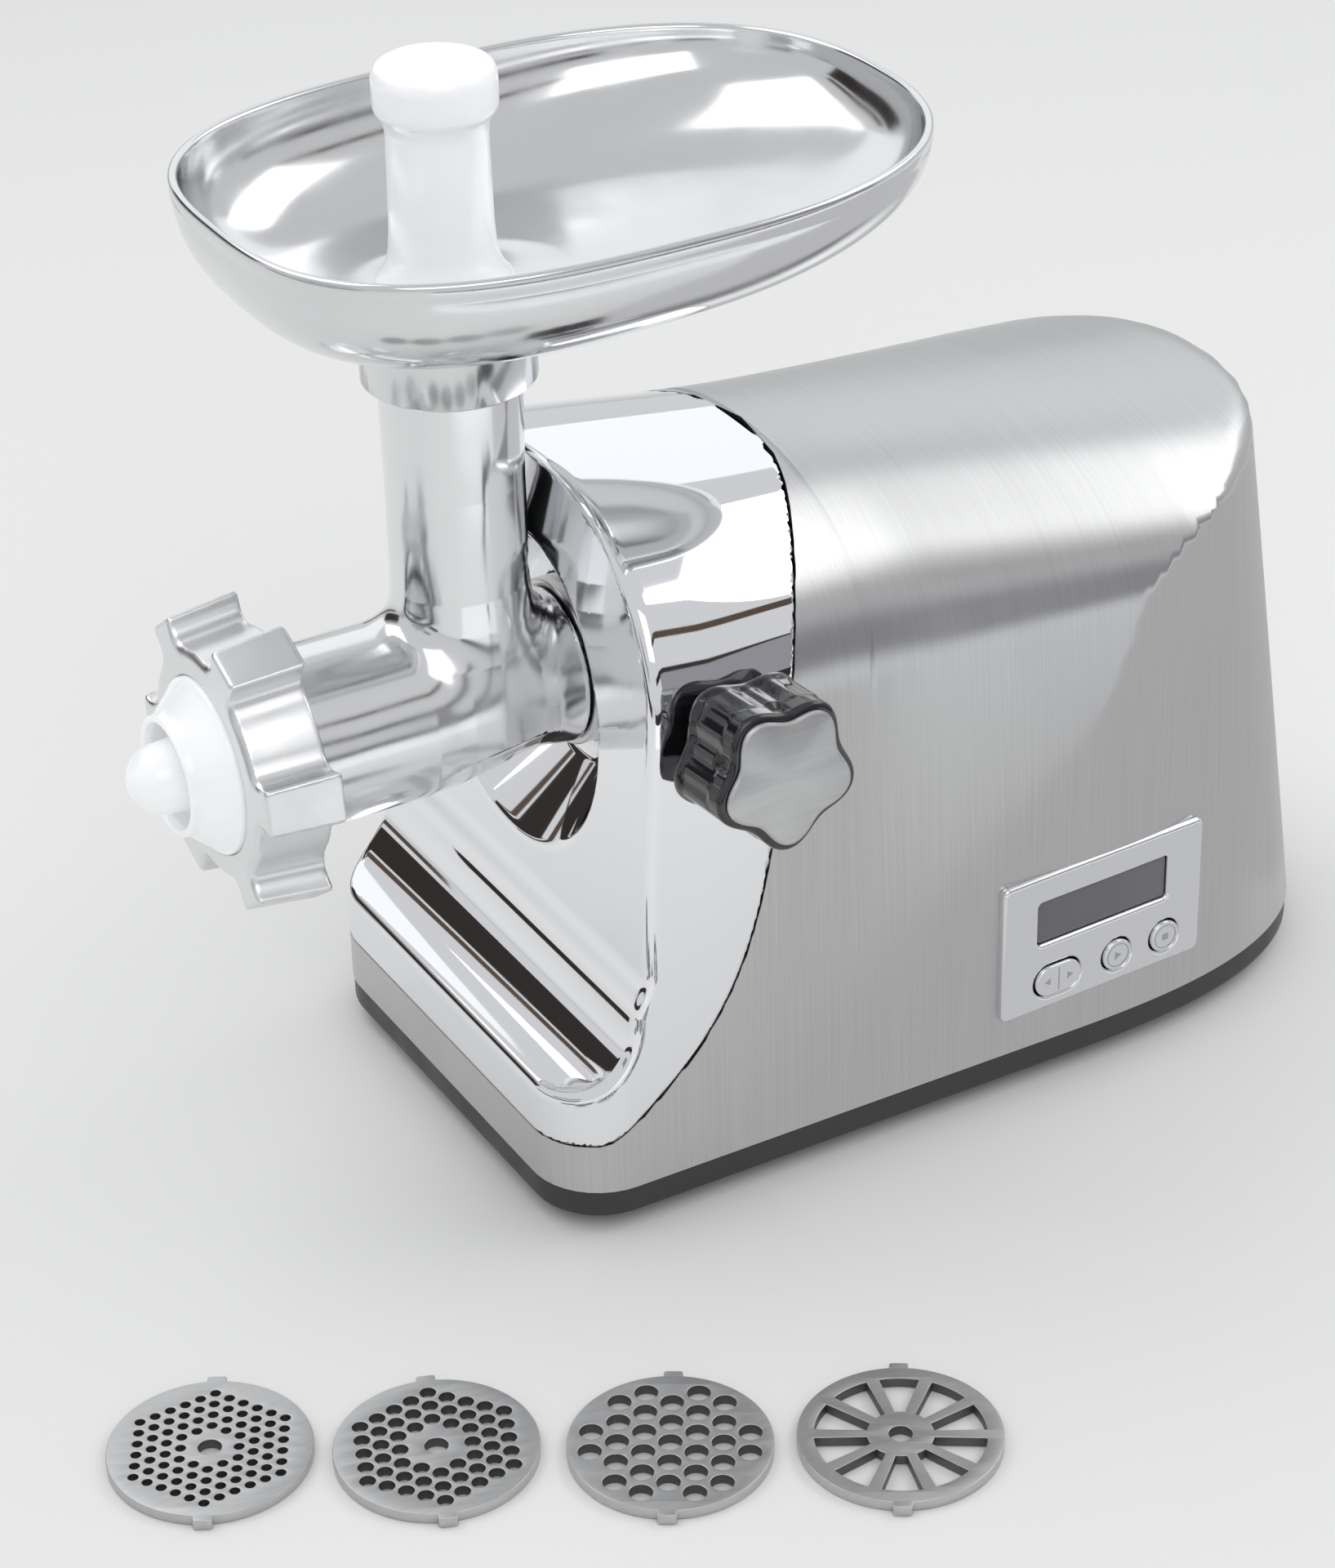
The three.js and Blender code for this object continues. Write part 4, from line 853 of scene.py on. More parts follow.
def seam_field(y, z):
    """Signed distance to the seam in the side view, above zero on the shell's side of it."""
    base = np.interp(y, SEAM[:, 0], SEAM[:, 1])
    slope = np.interp(y, SEAM[:, 0], SEAM_SLOPE)
    return (base - z) / np.sqrt(1 + slope ** 2)


def fascia_outside(x, y, z):
    skin = skin_field(x, y, z)
    outer = soft_max(skin, front_field(y, z), 4.2)
    radius = np.hypot(x, z - HEAD_Z)
    cone_r = RECESS + (33.3 - RECESS) * (y - 30) / (RECESS_FLOOR_Y - 30)
    cone = soft_min((cone_r - radius) * 0.74, RECESS_FLOOR_Y - y, 1.5)
    outer = soft_max(outer, cone, 1.6)
    return soft_max(outer, SLEEVE + 0.3 - radius, 0.6)


def fascia_field(x, y, z):
    outer = fascia_outside(x, y, z)
    sheet = np.maximum(outer, -(outer + 2.8))
    reach, off = along_clamp(x, y, z)
    hole = np.where(reach > 0, BUSH_R + 0.3 - off, -50.0)
    return soft_max(np.maximum(sheet, hole), seam_field(y, z) + 0.05, 0.7)


def fascia():
    return field_piece("fascia_skin", fascia_field, (-88, -2, 30), (88, 154, 236), 1.3, "housing",
                       "chrome_front", chrome, ["front_fascia"])


# ---- base and feet
FOOT_H = 5.8
FOOT_PLACES = {"front_left": (-62, 38), "front_right": (62, 38), "rear_left": (-58, 232),
               "rear_right": (58, 232)}
SCREW_INSET = 16
GLAND_X, GLAND_Z, GLAND_R = -40.0, 36.0, 7.0


def plan_ring(inset, z, count=360):
    """Outline of the walls seen from above."""
    heading = np.arange(count * 3) * 2 * math.pi / (count * 3)
    origin = np.tile((0.0, LENGTH / 2, SEAM_Z), (len(heading), 1))
    direction = np.stack([np.cos(heading), np.sin(heading), np.zeros_like(heading)], 1)
    field = lambda x, y, z: plan_field(x, y, z, inset)
    points = origin + direction * march(origin, direction, field)[:, None]
    ring = resample(np.vstack([points, points[:1]]), count + 1)[:-1]
    ring[:, 2] = z
    return ring


def base():
    steps = [(1.8, FOOT_H), (0.9, FOOT_H + 0.4), (0.5, FOOT_H + 1.2), (0.4, FOOT_H + 2.4),
             (0.4, SEAM_Z - 0.5),
             (0.9, SEAM_Z), (1.8, SEAM_Z), (1.8, SEAM_Z + 6), (3.9, SEAM_Z + 6), (3.9, FOOT_H + 2.5)]
    rings = [plan_ring(inset, z) for inset, z in steps]
    count = len(rings[0])
    faces = grid_faces(len(rings), count, closed=True)
    faces += [tuple(range(count))[::-1], tuple(range((len(rings) - 1) * count, len(rings) * count))]
    piece = add_mesh("base_skin", np.vstack(rings), faces, "housing", "black_base", black_base, ["base_tray"])
    slots = [box_mesh((-24, 196 + i * 12, 0), (24, 201 + i * 12, FOOT_H + 4)) for i in range(6)]
    bores = []
    for x, y in FOOT_PLACES.values():
        bores.append(rod_mesh(3.3, (x, y, 0), (x, y, 20)))
        inner = x - math.copysign(SCREW_INSET, x)
        bores.append(rod_mesh(2.3, (inner, y, 0), (inner, y, 20)))
    cut_away(piece, slots + bores)


def feet():
    for name, (x, y) in FOOT_PLACES.items():
        top = FOOT_H - 0.3
        outline = [(0, 0), (8, 0), (9, 1.2), (9, top), (3, top), (3, top + 5), (0, top + 5)]
        lathe("foot_skin_" + name, rounded(outline, 0.5), (0, 0, 1), (x, y, 0), "housing", "rubber",
              soft_rubber, ["foot_" + name], 48)


def gland():
    rear = LENGTH - 3.5
    outline = [(3.6, rear - 16), (GLAND_R, rear - 16), (GLAND_R, rear - 2), (GLAND_R - 0.5, rear + 0.8),
               (4.6, rear + 1.8), (3.6, rear + 1.8), (3.6, rear - 16)]
    lathe("gland_skin", rounded(outline, 0.5), (0, 1, 0), (GLAND_X, 0, GLAND_Z), "housing", "rubber",
          soft_rubber, ["cord_gland"], 48)


# ---- grinding head
def turned_field(profile, x, along, z):
    """Distance outwards from a turned profile of (place, radius)."""
    places, radii = zip(*profile)
    return np.hypot(x, z) - np.interp(along, places, radii)


BARREL = [(-70, 34), (-52, 34), (-47.5, 28.7), (-8, 28.7), (4, 27.9), (16, 26.2), (24, 24.6), (30, 23.8),
          (35, 24), (45.7, 25.4)]
TUBE = [(150, 24.6), (176, 23.6), (186, 22.2), (196, 21.3), (230, 21.3), (283, 22.2)]
BORE = [(-71, 31.3), (-62.6, 31.3), (-62.5, 24.6), (20, 24.6), (32, 12.3), (44, 12.3), (46, 17), (90, 17)]


def head_field(x, y, z):
    up = z - HEAD_Z
    barrel = soft_max(turned_field(BARREL, x, y, up), np.abs(y + 12.15) - 57.85, 1.2)
    spigot = np.maximum(np.hypot(x, up) - 22, np.abs(y - 62) - 20)
    tube = np.maximum(turned_field(TUBE, x, z, y - TUBE_Y), np.abs(z - 216.5) - 66.5)
    solid = np.minimum(soft_min(barrel, tube, 9.0), spigot)
    bore = turned_field(BORE, x, y, up)
    throat = np.maximum(np.hypot(x, y - TUBE_Y) - 18.9, HEAD_Z - z)
    return np.maximum(solid, -np.minimum(bore, throat))


def head():
    field_piece("head_skin", head_field, (-36, -72, 120), (36, 84, 285), 1.25, "head", "cast_head", cast,
                ["head_casting"])


def head_socket():
    outline = [(22.3, 46.3), (26.6, 46.3), (27, 46.8), (27, 84), (38, 84), (38, 89.7), (22.3, 89.7),
               (22.3, 46.3)]
    piece = lathe("socket_skin", rounded(outline, 0.6), (0, 1, 0), (0, 0, HEAD_Z), "housing",
                  "machined_steel", machined, ["head_socket"])
    cut_away(piece, [rod_mesh(BUSH_R - 2, CLAMP_FROM + CLAMP_AXIS * 10, CLAMP_FROM + CLAMP_AXIS * 60)])


LUG_PHASE = math.radians(6.4)


def ring_field(x, y, z):
    up = z - HEAD_Z
    radius = np.hypot(x, up)
    angle = np.arctan2(up, x) - LUG_PHASE
    sector = math.pi / 3
    off = (angle + sector / 2) % sector - sector / 2
    outward, across = radius * np.cos(off), radius * np.sin(off)
    places, radii = [-74, -71.5, -49.3], [34.6, 36.2, 38.2]
    wall = radius - np.interp(y, places, radii)
    reach = 47.8 - 2.6 * (-49.3 - y) / 23
    width = 4.4 + 0.30 * np.maximum(outward - 34, 0)
    lug = soft_max(outward - reach, np.abs(across) - width, 1.6)
    body = soft_min(wall, lug, 8.0)
    body = soft_max(body, np.abs(y + 61.4) - 12.1, 1.6)
    lip = 28.2 - radius
    return np.maximum(soft_max(body, lip, 1.2), np.minimum(34.6 - radius, y + 70.3))


def ring_nut():
    field_piece("ring_nut_skin", ring_field, (-50, -75, 106), (50, -48, 206), 0.85, "ring", "cast_head",
                ring_metal, ["ring_nut"])


def kubbe():
    front = -70.0
    cone = [(27.9, front + 0.2), (27.9, front - 4.4), (26.6, -75.3), (20.2, -82.6), (19.4, -84), (19, -86.4),
            (16.8, -86.4), (17.2, -83), (23.6, -75.4), (24.6, front - 1), (24.6, front + 0.2),
            (27.9, front + 0.2)]
    lathe("kubbe_cone_skin", rounded(cone, 0.9), (0, 1, 0), (0, 0, HEAD_Z), "cone", "white_plastic",
          white_gloss, ["kubbe_cone"], 128)
    field_piece("kubbe_former_skin", former_field, (-33, -100, 124), (33, -61, 188), 0.9, "head",
                "white_plastic", white_gloss, ["kubbe_former"])


NOSE_R, NOSE_ROUND_Y = 11.0, -87.6


def former_field(x, y, z):
    up = z - HEAD_Z
    radius = np.hypot(x, up)
    tip = np.hypot(radius, np.minimum(y - NOSE_ROUND_Y, 0)) - NOSE_R
    nose = np.maximum(tip - 0.08 * np.maximum(y - NOSE_ROUND_Y, 0), np.abs(y + 84) - 15)
    disc = np.maximum(radius - 31, np.abs(y + 66.05) - 3.35)
    angle = (np.arctan2(up, x) % (2 * math.pi / 3))
    opening = np.maximum(np.abs(radius - 18.25) - 4.25,
                         (np.abs(angle - math.pi / 3) - (math.pi / 3 - 0.2)) * radius)
    return np.minimum(nose, np.maximum(disc, -opening))


# ---- tray and pusher
RIM_Z, TRAY_DEPTH = 328.0, 36.0
TRAY_HALF, TRAY_MIDDLE = 81.5, 58.0
TRAY_FRONT, TRAY_BACK = 115.5, 108.5
FRONT_POWER, BACK_POWER = 2.9, 2.45
COLLAR_R, COLLAR_DROP = 26.6, 28.5
SEAT_R, SEAT_Z = 22.5, 283.3
THROAT_R = 19.3


def tray_ring(share, z, shrink, throat, count=200):
    angle = (np.arange(count) + 0.5) * 2 * math.pi / count
    c, s = np.cos(angle), np.sin(angle)
    power = np.where(s > 0, BACK_POWER, FRONT_POWER)
    reach = np.where(s > 0, TRAY_BACK, TRAY_FRONT) - shrink
    x = np.sign(c) * (TRAY_HALF - shrink) * np.abs(c) ** (2 / power)
    y = TRAY_MIDDLE + np.sign(s) * reach * np.abs(s) ** (2 / power)
    length = np.hypot(x, y - TUBE_Y)
    tx, ty = x / length * throat, (y - TUBE_Y) / length * throat + TUBE_Y
    return np.stack([tx + (x - tx) * share, ty + (y - ty) * share, np.full(count, float(z))], 1)


def tray():
    floor, wall = RIM_Z - TRAY_DEPTH, 2.2
    bottom = floor - COLLAR_DROP
    turned_part = rounded([(SEAT_R, bottom), (SEAT_R, SEAT_Z), (THROAT_R, SEAT_Z), (THROAT_R, floor - 0.6),
                           (THROAT_R + 0.8, floor)], 0.5)
    rings = [tray_ring(0, z, 0, r) for r, z in turned_part]
    for bend in np.linspace(0, 1, 40)[1:] * math.pi / 2:
        share = math.sin(bend) ** (2 / 3.2)
        rings.append(tray_ring(share, floor + (TRAY_DEPTH - 1.2) * (1 - math.cos(bend)), wall, COLLAR_R - 1))
    for turn in np.linspace(0, 1, 9)[1:-1] * math.pi:
        middle = wall / 2 - 0.25
        rings.append(tray_ring(1, RIM_Z - 1.3 + 1.3 * math.sin(turn), middle + 1.35 * math.cos(turn),
                               COLLAR_R))
    rings.append(tray_ring(1, RIM_Z - 1.6, -0.5, COLLAR_R))
    rings.append(tray_ring(1, RIM_Z - 4.4, -0.4, COLLAR_R))
    rings.append(tray_ring(1, RIM_Z - 5.0, 0.0, COLLAR_R))
    depth = TRAY_DEPTH + wall - 5.0
    for bend in np.linspace(1, 0, 36)[1:] * math.pi / 2:
        share = math.sin(bend) ** (2 / 3.2)
        rings.append(tray_ring(share, floor - wall + depth * (1 - math.cos(bend)), 0, COLLAR_R + 0.6))
    rings += [tray_ring(0, z, 0, r) for r, z in
              ((COLLAR_R + 0.2, floor - wall - 0.6), (COLLAR_R, floor - wall - 1.6), (COLLAR_R, bottom + 0.6),
               (COLLAR_R - 0.5, bottom), (SEAT_R, bottom))]
    points = np.vstack(rings)
    piece = add_mesh("tray_skin", points, grid_faces(len(rings), len(rings[0]), closed=True), "tray",
                     "spun_tray", tray_metal, ["food_tray"])
    tidy(piece, 50)


def pusher():
    flange = RIM_Z - TRAY_DEPTH + 0.3
    top = 362.5
    outline = [(0, 225), (15.5, 225), (18, 229), (18, flange), (20.8, flange), (20.8, flange + 2.6),
               (18.0, flange + 6), (16.2, flange + 11), (15.5, flange + 20), (15.1, top - 26),
               (15.2, top - 20),
               (16.4, top - 16.6), (18.2, top - 14.4), (18.4, top - 12), (18.4, top - 4.6), (17.4, top - 1.8),
               (14.2, top - 0.4), (0, top)]
    lathe("pusher_skin", rounded(outline, 2.2, 5), (0, 0, 1), (0, TUBE_Y, 0), "pusher", "white_plastic",
          white_gloss, ["food_pusher"], 128)


# ---- clamp knob
KNOB_START, KNOB_END = 91.0, 117.0
KNOB_R, KNOB_VALLEY, KNOB_LOBES = 24.2, 0.82, 5
KNOB_PHASE = math.radians(69)
KNOB_U = np.array((math.sin(CLAMP_TILT), 0.0, -math.cos(CLAMP_TILT)))
KNOB_V = np.array((0.0, 1.0, 0.0))


def knob_radius(angle, lobe, valley):
    wave = np.cos(KNOB_LOBES * angle)
    return (lobe + valley) / 2 + (lobe - valley) / 2 * wave


def knob_rings(rows, count=320):
    """Rings about the clamp axis from rows of (place along it, radius at each angle)."""
    angle = np.arange(count) * 2 * math.pi / count
    turned = angle + KNOB_PHASE
    spread = np.outer(np.cos(turned), KNOB_U) + np.outer(np.sin(turned), KNOB_V)
    return [CLAMP_FROM + place * CLAMP_AXIS + np.asarray(radius(angle))[:, None] * spread
            for place, radius in rows]


def knob_side(place):
    """Radius of the knob's side: lobes, fine ribs near the valleys and a dimple at the front of each."""
    def radius(angle):
        base_r = knob_radius(angle, KNOB_R, KNOB_R * KNOB_VALLEY)
        valley = 0.5 - 0.5 * np.cos(KNOB_LOBES * angle)
        ribs = 0.35 * np.cos(KNOB_LOBES * 4 * angle)
        front = smooth_step(np.full_like(angle, place), KNOB_START + 2, KNOB_START + 5)
        fade = 1 - smooth_step(np.full_like(angle, place), KNOB_END - 8, KNOB_END - 6)
        ribs = ribs * front * fade
        near = (place - (KNOB_END - 5.2)) / 3.2
        dimple = 1.5 * np.exp(-(near ** 4)) * smooth_step(valley, 0.86, 0.98)
        foot = 0.8 * (1 - front)
        return base_r + ribs - dimple + foot
    return radius


def knob():
    rows = [(KNOB_START, lambda a: np.full_like(a, 4.3))]
    rows.append((KNOB_START, lambda a: knob_side(KNOB_START)(a) - 1.2))
    rows.append((KNOB_START + 0.4, lambda a: knob_side(KNOB_START)(a) - 0.3))
    for place in np.linspace(KNOB_START + 1, KNOB_END - 1.6, 64):
        rows.append((place, knob_side(place)))
    for bend in np.linspace(0, math.pi / 2, 7)[1:]:
        shrink = 1.6 * (1 - math.cos(bend))
        rows.append((KNOB_END - 1.6 + 1.6 * math.sin(bend),
                     lambda a, shrink=shrink: knob_side(KNOB_END)(a) - shrink))
    rows.append((KNOB_END, lambda a: np.full_like(a, 4.3)))
    rows.append((KNOB_START, lambda a: np.full_like(a, 4.3)))
    rings = knob_rings(rows)
    piece = add_mesh("knob_skin", np.vstack(rings), grid_faces(len(rings), len(rings[0]), closed=True),
                     "knob", "black_knob", black_gloss, ["clamp_knob"])
    tidy(piece, 45)
    cap_lobe, cap_valley = 21.8, 21.8 * 0.8
    outline = lambda shrink: (lambda a: knob_radius(a, cap_lobe, cap_valley) - shrink)
    rows = [(KNOB_END + 0.3, lambda a: np.full_like(a, 0.01)), (KNOB_END + 0.3, outline(0)),
            (KNOB_END + 0.8, outline(0)), (KNOB_END + 1.15, outline(0.15)), (KNOB_END + 1.6, outline(0.9)),
            (KNOB_END + 1.7, outline(1.2)), (KNOB_END + 1.7, lambda a: np.full_like(a, 0.01))]
    rings = knob_rings(rows)
    cap = add_mesh("knob_cap_skin", np.vstack(rings), grid_faces(len(rings), len(rings[0]), closed=True),
                   "knob", "brushed_shell", steel_cap, ["clamp_knob_cap"])
    tidy(cap, 30)
    screw = [(0, 25.3), (4, 25.3), (4, 103), (0, 103)]
    lathe("clamp_screw_skin", rounded(screw, 0.4), CLAMP_AXIS, CLAMP_FROM, "knob", "machined_steel", machined,
          ["clamp_screw"], 48)
    bush = [(4.3, 27.9), (BUSH_R, 27.9), (BUSH_R, 86), (4.3, 86), (4.3, 27.9)]
    lathe("clamp_bush_skin", rounded(bush, 0.5), CLAMP_AXIS, CLAMP_FROM, "housing", "bronze", bronze,
          ["clamp_bush"], 48)


# ---- control panel
PANEL_FACE = 2.6


def mark(name, loops, out, body, slot, material):
    """Thin raised mark on the panel."""
    place = lambda p: on_panel(p + (0, 0, out))
    return filled(name, loops, 0.12, 0.03, place, body, slot, material)


def arrow(x, y, size):
    return [(x - size / 2, y), (x + size / 2, y + size * 0.6), (x + size / 2, y - size * 0.6)]


def ring_loops(radius, thick, centre):
    return [ring_outline(radius, 64, centre), ring_outline(radius - thick, 64, centre)[::-1]]


def panel():
    window = (0, WINDOW_RISE)
    holes = [rounded_box(WINDOW_W, WINDOW_H, 1.6, window)[::-1],
             rounded_box(PILL_W, PILL_H, PILL_H / 2 - 0.01, (PILL_AT, -BUTTON_DROP))[::-1]]
    holes += [ring_outline(BUTTON_R, 64, (at, -BUTTON_DROP))[::-1] for at in BUTTONS_AT]
    deep = PANEL_FACE + 0.9
    face = lambda p: on_panel(p - (0, 0, 0.9))
    filled("bezel_skin", [rounded_box(PANEL_W, PANEL_H, 2.6), *holes], deep, 1.4, face, "housing",
           "chrome_front", chrome_face, ["panel_bezel"])
    filled("window_skin", [rounded_box(WINDOW_W - 0.6, WINDOW_H - 0.6, 1.4, window)], 2.0, 0.2, face,
           "housing", "display_lens", lens, ["display_window"])
    button_deep = PANEL_FACE + 0.5 + 0.9
    pill = rounded_box(PILL_W - 1, PILL_H - 1, (PILL_H - 1) / 2 - 0.01, (PILL_AT, -BUTTON_DROP))
    filled("rocker_skin", [pill], button_deep - 0.3, 0.6, lambda p: on_panel(p - (0, 0, 0.6)), "rocker",
           "chrome_front", chrome_face, ["rocker_button"])
    for name, at in zip(("start", "stop"), BUTTONS_AT):
        centre = (at, -BUTTON_DROP)
        filled(name + "_skin", [ring_outline(BUTTON_R - 0.4, 64, centre)], button_deep, 0.6, face, name,
               "chrome_front", chrome_face, [name + "_button"])
        mark(name + "_ring", ring_loops(BUTTON_R - 1.6, 0.35, centre), PANEL_FACE + 0.47, name,
             "chrome_front", mark_grey)
    out = PANEL_FACE + 0.47
    mark("rocker_line", [rounded_box(0.4, PILL_H - 3.4, 0.15, (PILL_AT, -BUTTON_DROP))], out, "rocker",
         "chrome_front", mark_grey)
    mark("rocker_left", [arrow(PILL_AT - 4.6, -BUTTON_DROP, 2.2)], out, "rocker", "chrome_front", mark_grey)
    mark("rocker_right", [arrow(PILL_AT + 4.6, -BUTTON_DROP, -2.2)], out, "rocker", "chrome_front", mark_grey)
    start_at, stop_at = BUTTONS_AT
    mark("start_mark", [arrow(start_at, -BUTTON_DROP, -2.6)], out, "start", "chrome_front", mark_grey)
    mark("stop_mark", [rounded_box(2.4, 2.4, 0.2, (stop_at, -BUTTON_DROP))], out, "stop", "chrome_front",
         mark_grey)


# ---- loose plates
PLATE_R, PLATE_T = 30.4, 3.4
EAR_W, EAR_OUT = 5.7, 2.2


def plate_outline():
    edge = math.asin(EAR_W / 2 / PLATE_R)
    points = []
    for side in (1, -1):
        quarter = math.pi / 2 * side
        sweep = np.linspace(quarter - math.pi + edge, quarter - edge, 90)
        points += [(PLATE_R * math.cos(a), PLATE_R * math.sin(a)) for a in sweep]
        reach = PLATE_R + EAR_OUT
        corners = [(EAR_W / 2 * side, (reach - 0.5) * side), ((EAR_W / 2 - 0.5) * side, reach * side),
                   (-(EAR_W / 2 - 0.5) * side, reach * side), (-EAR_W / 2 * side, (reach - 0.5) * side)]
        points += corners
    return points


def hex_holes(pitch, radius, first, last, corners):
    farthest = last * pitch if corners else (last - 0.2) * pitch
    loops = []
    for column in range(-last, last + 1):
        for row in range(-last, last + 1):
            ring = max(abs(column), abs(row), abs(column + row))
            x, y = column * pitch * math.sin(math.pi / 3), (row + column / 2) * pitch
            if first <= ring <= last and math.hypot(x, y) < farthest + 0.01:
                loops.append(ring_outline(radius, 24, (x, y))[::-1])
    return loops


def spokes():
    loops = []
    for i in range(10):
        middle = (i + 0.5) * 2 * math.pi / 10
        outer = [(25.4 * math.cos(a), 25.4 * math.sin(a))
                 for a in np.linspace(middle - 0.235, middle + 0.235, 14)]
        inner = [(10 * math.cos(a), 10 * math.sin(a)) for a in np.linspace(middle + 0.16, middle - 0.16, 6)]
        loops.append((outer + inner)[::-1])
    return loops


def plates():
    layout = {"fine": (hex_holes(4.95, 1.55, 2, 5, True), (116.5, -138.2), 61.4),
              "medium": (hex_holes(6.15, 2.4, 2, 4, True), (150.4, -81.1), 68.7),
              "coarse": (hex_holes(9, 3.5, 1, 3, False), (184.6, -21.9), 58.3),
              "spoked": (spokes(), (216.4, 37.5), 58.5)}
    for name, (holes, (x, y), degrees) in layout.items():
        c, s = math.cos(math.radians(degrees)), math.sin(math.radians(degrees))
        spin = np.array([(c, s, 0), (-s, c, 0), (0, 0, 1)])
        loops = [plate_outline(), ring_outline(3.5, 32)[::-1], *holes]
        piece = filled("plate_skin_" + name, loops, PLATE_T, 0.25, lambda p: p @ spin + (x, y, 0),
                       name + "_plate", "plate_steel", steel_plate, ["plate_" + name])
        # the hole walls get the dark steel: painted shade inside the holes
        piece.data.materials.append(painted_hole_shade)
        middle = Vector(metres((x, y, 0))[0])
        for face in piece.data.polygons:
            inside = (face.center - middle).to_2d().length < (PLATE_R - 1) * MM
            face.material_index = 1 if inside and abs(face.normal.z) < 0.3 else 0


# ---- everything in place
shell()
fascia()
base()
feet()
gland()
head()
head_socket()
ring_nut()
kubbe()
tray()
pusher()
knob()
panel()
plates()

HIDDEN_LOOKS = {
    "machined_steel": machined, "bronze": bronze, "copper": copper_wire, "nylon": nylon, "carbon": carbon,
    "grey_plastic": grey_moulding, "cast_head": cast, "black_base": black_base, "circuit_board": board_green,
    "plate_steel": steel_plate, "rubber": soft_rubber, "brushed_shell": steel_shell, "chrome_front": chrome,
    "spun_tray": tray_metal, "black_knob": black_gloss, "white_plastic": white_gloss, "display_lens": lens,
}
slot_of = {part["node"]: part["material_slot"] for part in frame["record"]["subparts"]}
for node, piece in frame["nodes"].items():
    for place in piece.material_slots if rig.alive(piece) else ():
        place.link = 'OBJECT'
        place.material = HIDDEN_LOOKS[slot_of[node]]

# ---- table, walls and light
FLOOR = new_material("table_top", (0.84, 0.838, 0.825), 0.0, 0.6, specular=0.2)
add_roughness(FLOOR, noise_node(FLOOR, 6.0, 1.0, (1, 1, 1)), 0.55, 0.65)


def stage_card(name, corners, material):
    """Flat card through its corners, in machine millimetres."""
    mesh = bpy.data.meshes.new(name)
    mesh.from_pydata([tuple(p) for p in metres(corners)], [], [tuple(range(len(corners)))])
    card = bpy.data.objects.new(name, mesh)
    bpy.context.scene.collection.objects.link(card)
    mesh.materials.append(material)
    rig.stage(card)
    return card


def stage_plane(name, centre, size, facing, material):
    """Card about a point, facing along a direction."""
    _, side, other = frame_of(facing)
    w, h = size[0] / 2, size[1] / 2
    corners = [np.asarray(centre) + a * side + b * other for a, b in ((-w, -h), (w, -h), (w, h), (-w, h))]
    return stage_card(name, corners, material)


def glow(name, color, strength):
    material = bpy.data.materials.new(name)
    material.use_nodes = True
    tree = material.node_tree
    tree.nodes.remove(tree.nodes["Principled BSDF"])
    light = tree.nodes.new("ShaderNodeEmission")
    light.inputs["Color"].default_value = (*color, 1)
    light.inputs["Strength"].default_value = strength
    link(tree, light, "Emission", tree.nodes["Material Output"], "Surface")
    return material


def soft_light(name, at, towards, size, power):
    lamp = bpy.data.lights.new(name, 'AREA')
    lamp.shape = 'RECTANGLE'
    lamp.size, lamp.size_y = size[0] * MM, size[1] * MM
    lamp.energy = power
    holder = bpy.data.objects.new(name, lamp)
    bpy.context.scene.collection.objects.link(holder)
    place, target = metres(at)[0], metres(towards)[0]
    aim = Vector(target - place).to_track_quat('-Z', 'Y')
    holder.matrix_world = Matrix.Translation(place) @ aim.to_matrix().to_4x4()
    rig.stage(holder)


# patch of darker ground that only the polished sides reflect, below the crease of the housing
GROUND_CARD = [(90, 70, 0.5), (110, 70, 0.5), (360, 320, 0.5), (520, 420, 0.5), (520, 900, 0.5),
               (-200, 900, 0.5), (-200, 340, 0.5), (90, 340, 0.5)]


def reflected_only(card):
    card.visible_camera = False
    card.visible_shadow = False
    card.visible_diffuse = False


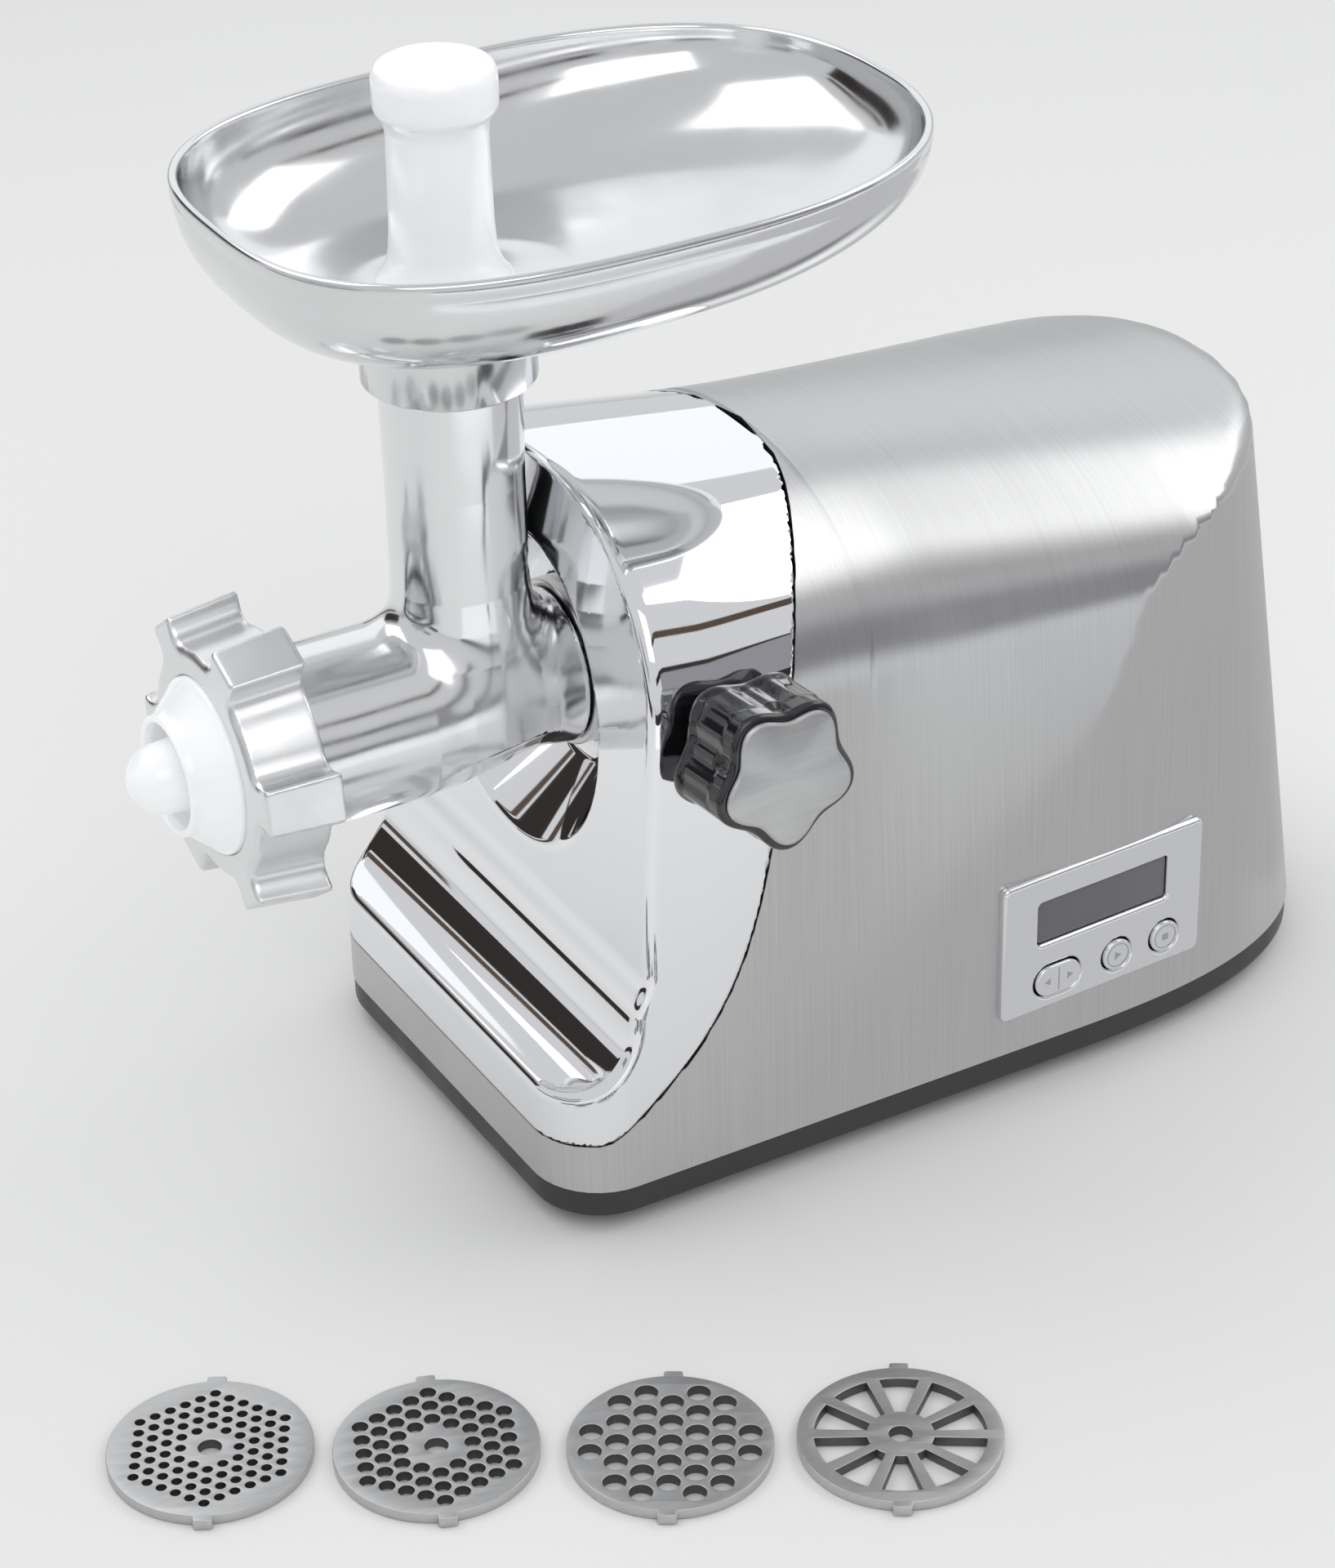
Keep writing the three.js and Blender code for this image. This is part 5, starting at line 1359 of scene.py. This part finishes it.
def surroundings():
    world = bpy.data.worlds.new("studio")
    bpy.context.scene.world = world
    world.use_nodes = True
    world.node_tree.nodes["Background"].inputs["Color"].default_value = (0.93, 0.94, 0.96, 1)
    world.node_tree.nodes["Background"].inputs["Strength"].default_value = 0.72
    stage_plane("table", (0, 0, -0.2), (9000, 9000), (0, 0, 1), FLOOR)
    dark = glow("dark_card", (0.035, 0.03, 0.028), 1.0)
    brown = glow("brown_card", (0.10, 0.07, 0.055), 1.0)
    grey = glow("grey_card", (0.30, 0.30, 0.32), 1.0)
    bright = glow("bright_card", (0.96, 0.98, 1.0), 1.1)
    for name, at, size, facing, material in (
            ("card_right_glow", (420, 420, 52), (1300, 100), (-1, -0.1, 0), bright),
            ("card_right_low", (420, 420, 124), (1300, 44), (-1, -0.1, 0), dark),
            ("card_right_mid", (1500, 700, 560), (1600, 130), (-1, -0.3, 0), dark),
            ("card_right_high", (1450, 800, 1250), (2000, 130), (-1, -0.3, -0.4), brown),
            ("card_left_dark", (-1250, -820, 560), (1100, 560), (0.8, 0.5, -0.2), dark),
            ("card_left_brown", (-1180, -800, 930), (900, 90), (0.8, 0.5, -0.4), brown),
            ("card_left_low", (-1300, -300, 130), (1500, 110), (1, 0, 0), brown),
            ("card_right_rear", (1000, 1050, 260), (1100, 480), (-0.75, -0.65, 0), grey),
            ("card_front", (300, -1500, 420), (900, 200), (0, 1, 0), grey),
            ("card_front_low", (0, -900, 60), (1100, 90), (0, 1, 0), dark),
            ("card_rear", (-1300, 900, 980), (3000, 900), (0.75, -0.42, -0.5), bright),
            ("card_rear_dark", (-900, 1300, 520), (900, 90), (0.6, -0.8, 0), grey)):
        reflected_only(stage_plane(name, at, size, facing, material))
    ground_grey = glow("ground_grey", (0.62, 0.62, 0.63), 1.0)
    reflected_only(stage_card("ground_card", GROUND_CARD, ground_grey))
    soft_light("key", (-700, -500, 1500), (0, 80, 100), (1100, 1100), 6)
    soft_light("fill", (1300, -300, 1300), (0, 100, 120), (1300, 900), 5)
    soft_light("rim", (200, 1300, 1300), (0, 150, 150), (1400, 700), 5)


surroundings()
bpy.context.scene.view_settings.view_transform = 'Standard'

# ---- finish
with open("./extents.json", "w") as out:
    json.dump({"cad": [list(c) for c in cad_bounds], "visual": [list(c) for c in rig.bounds()]}, out)
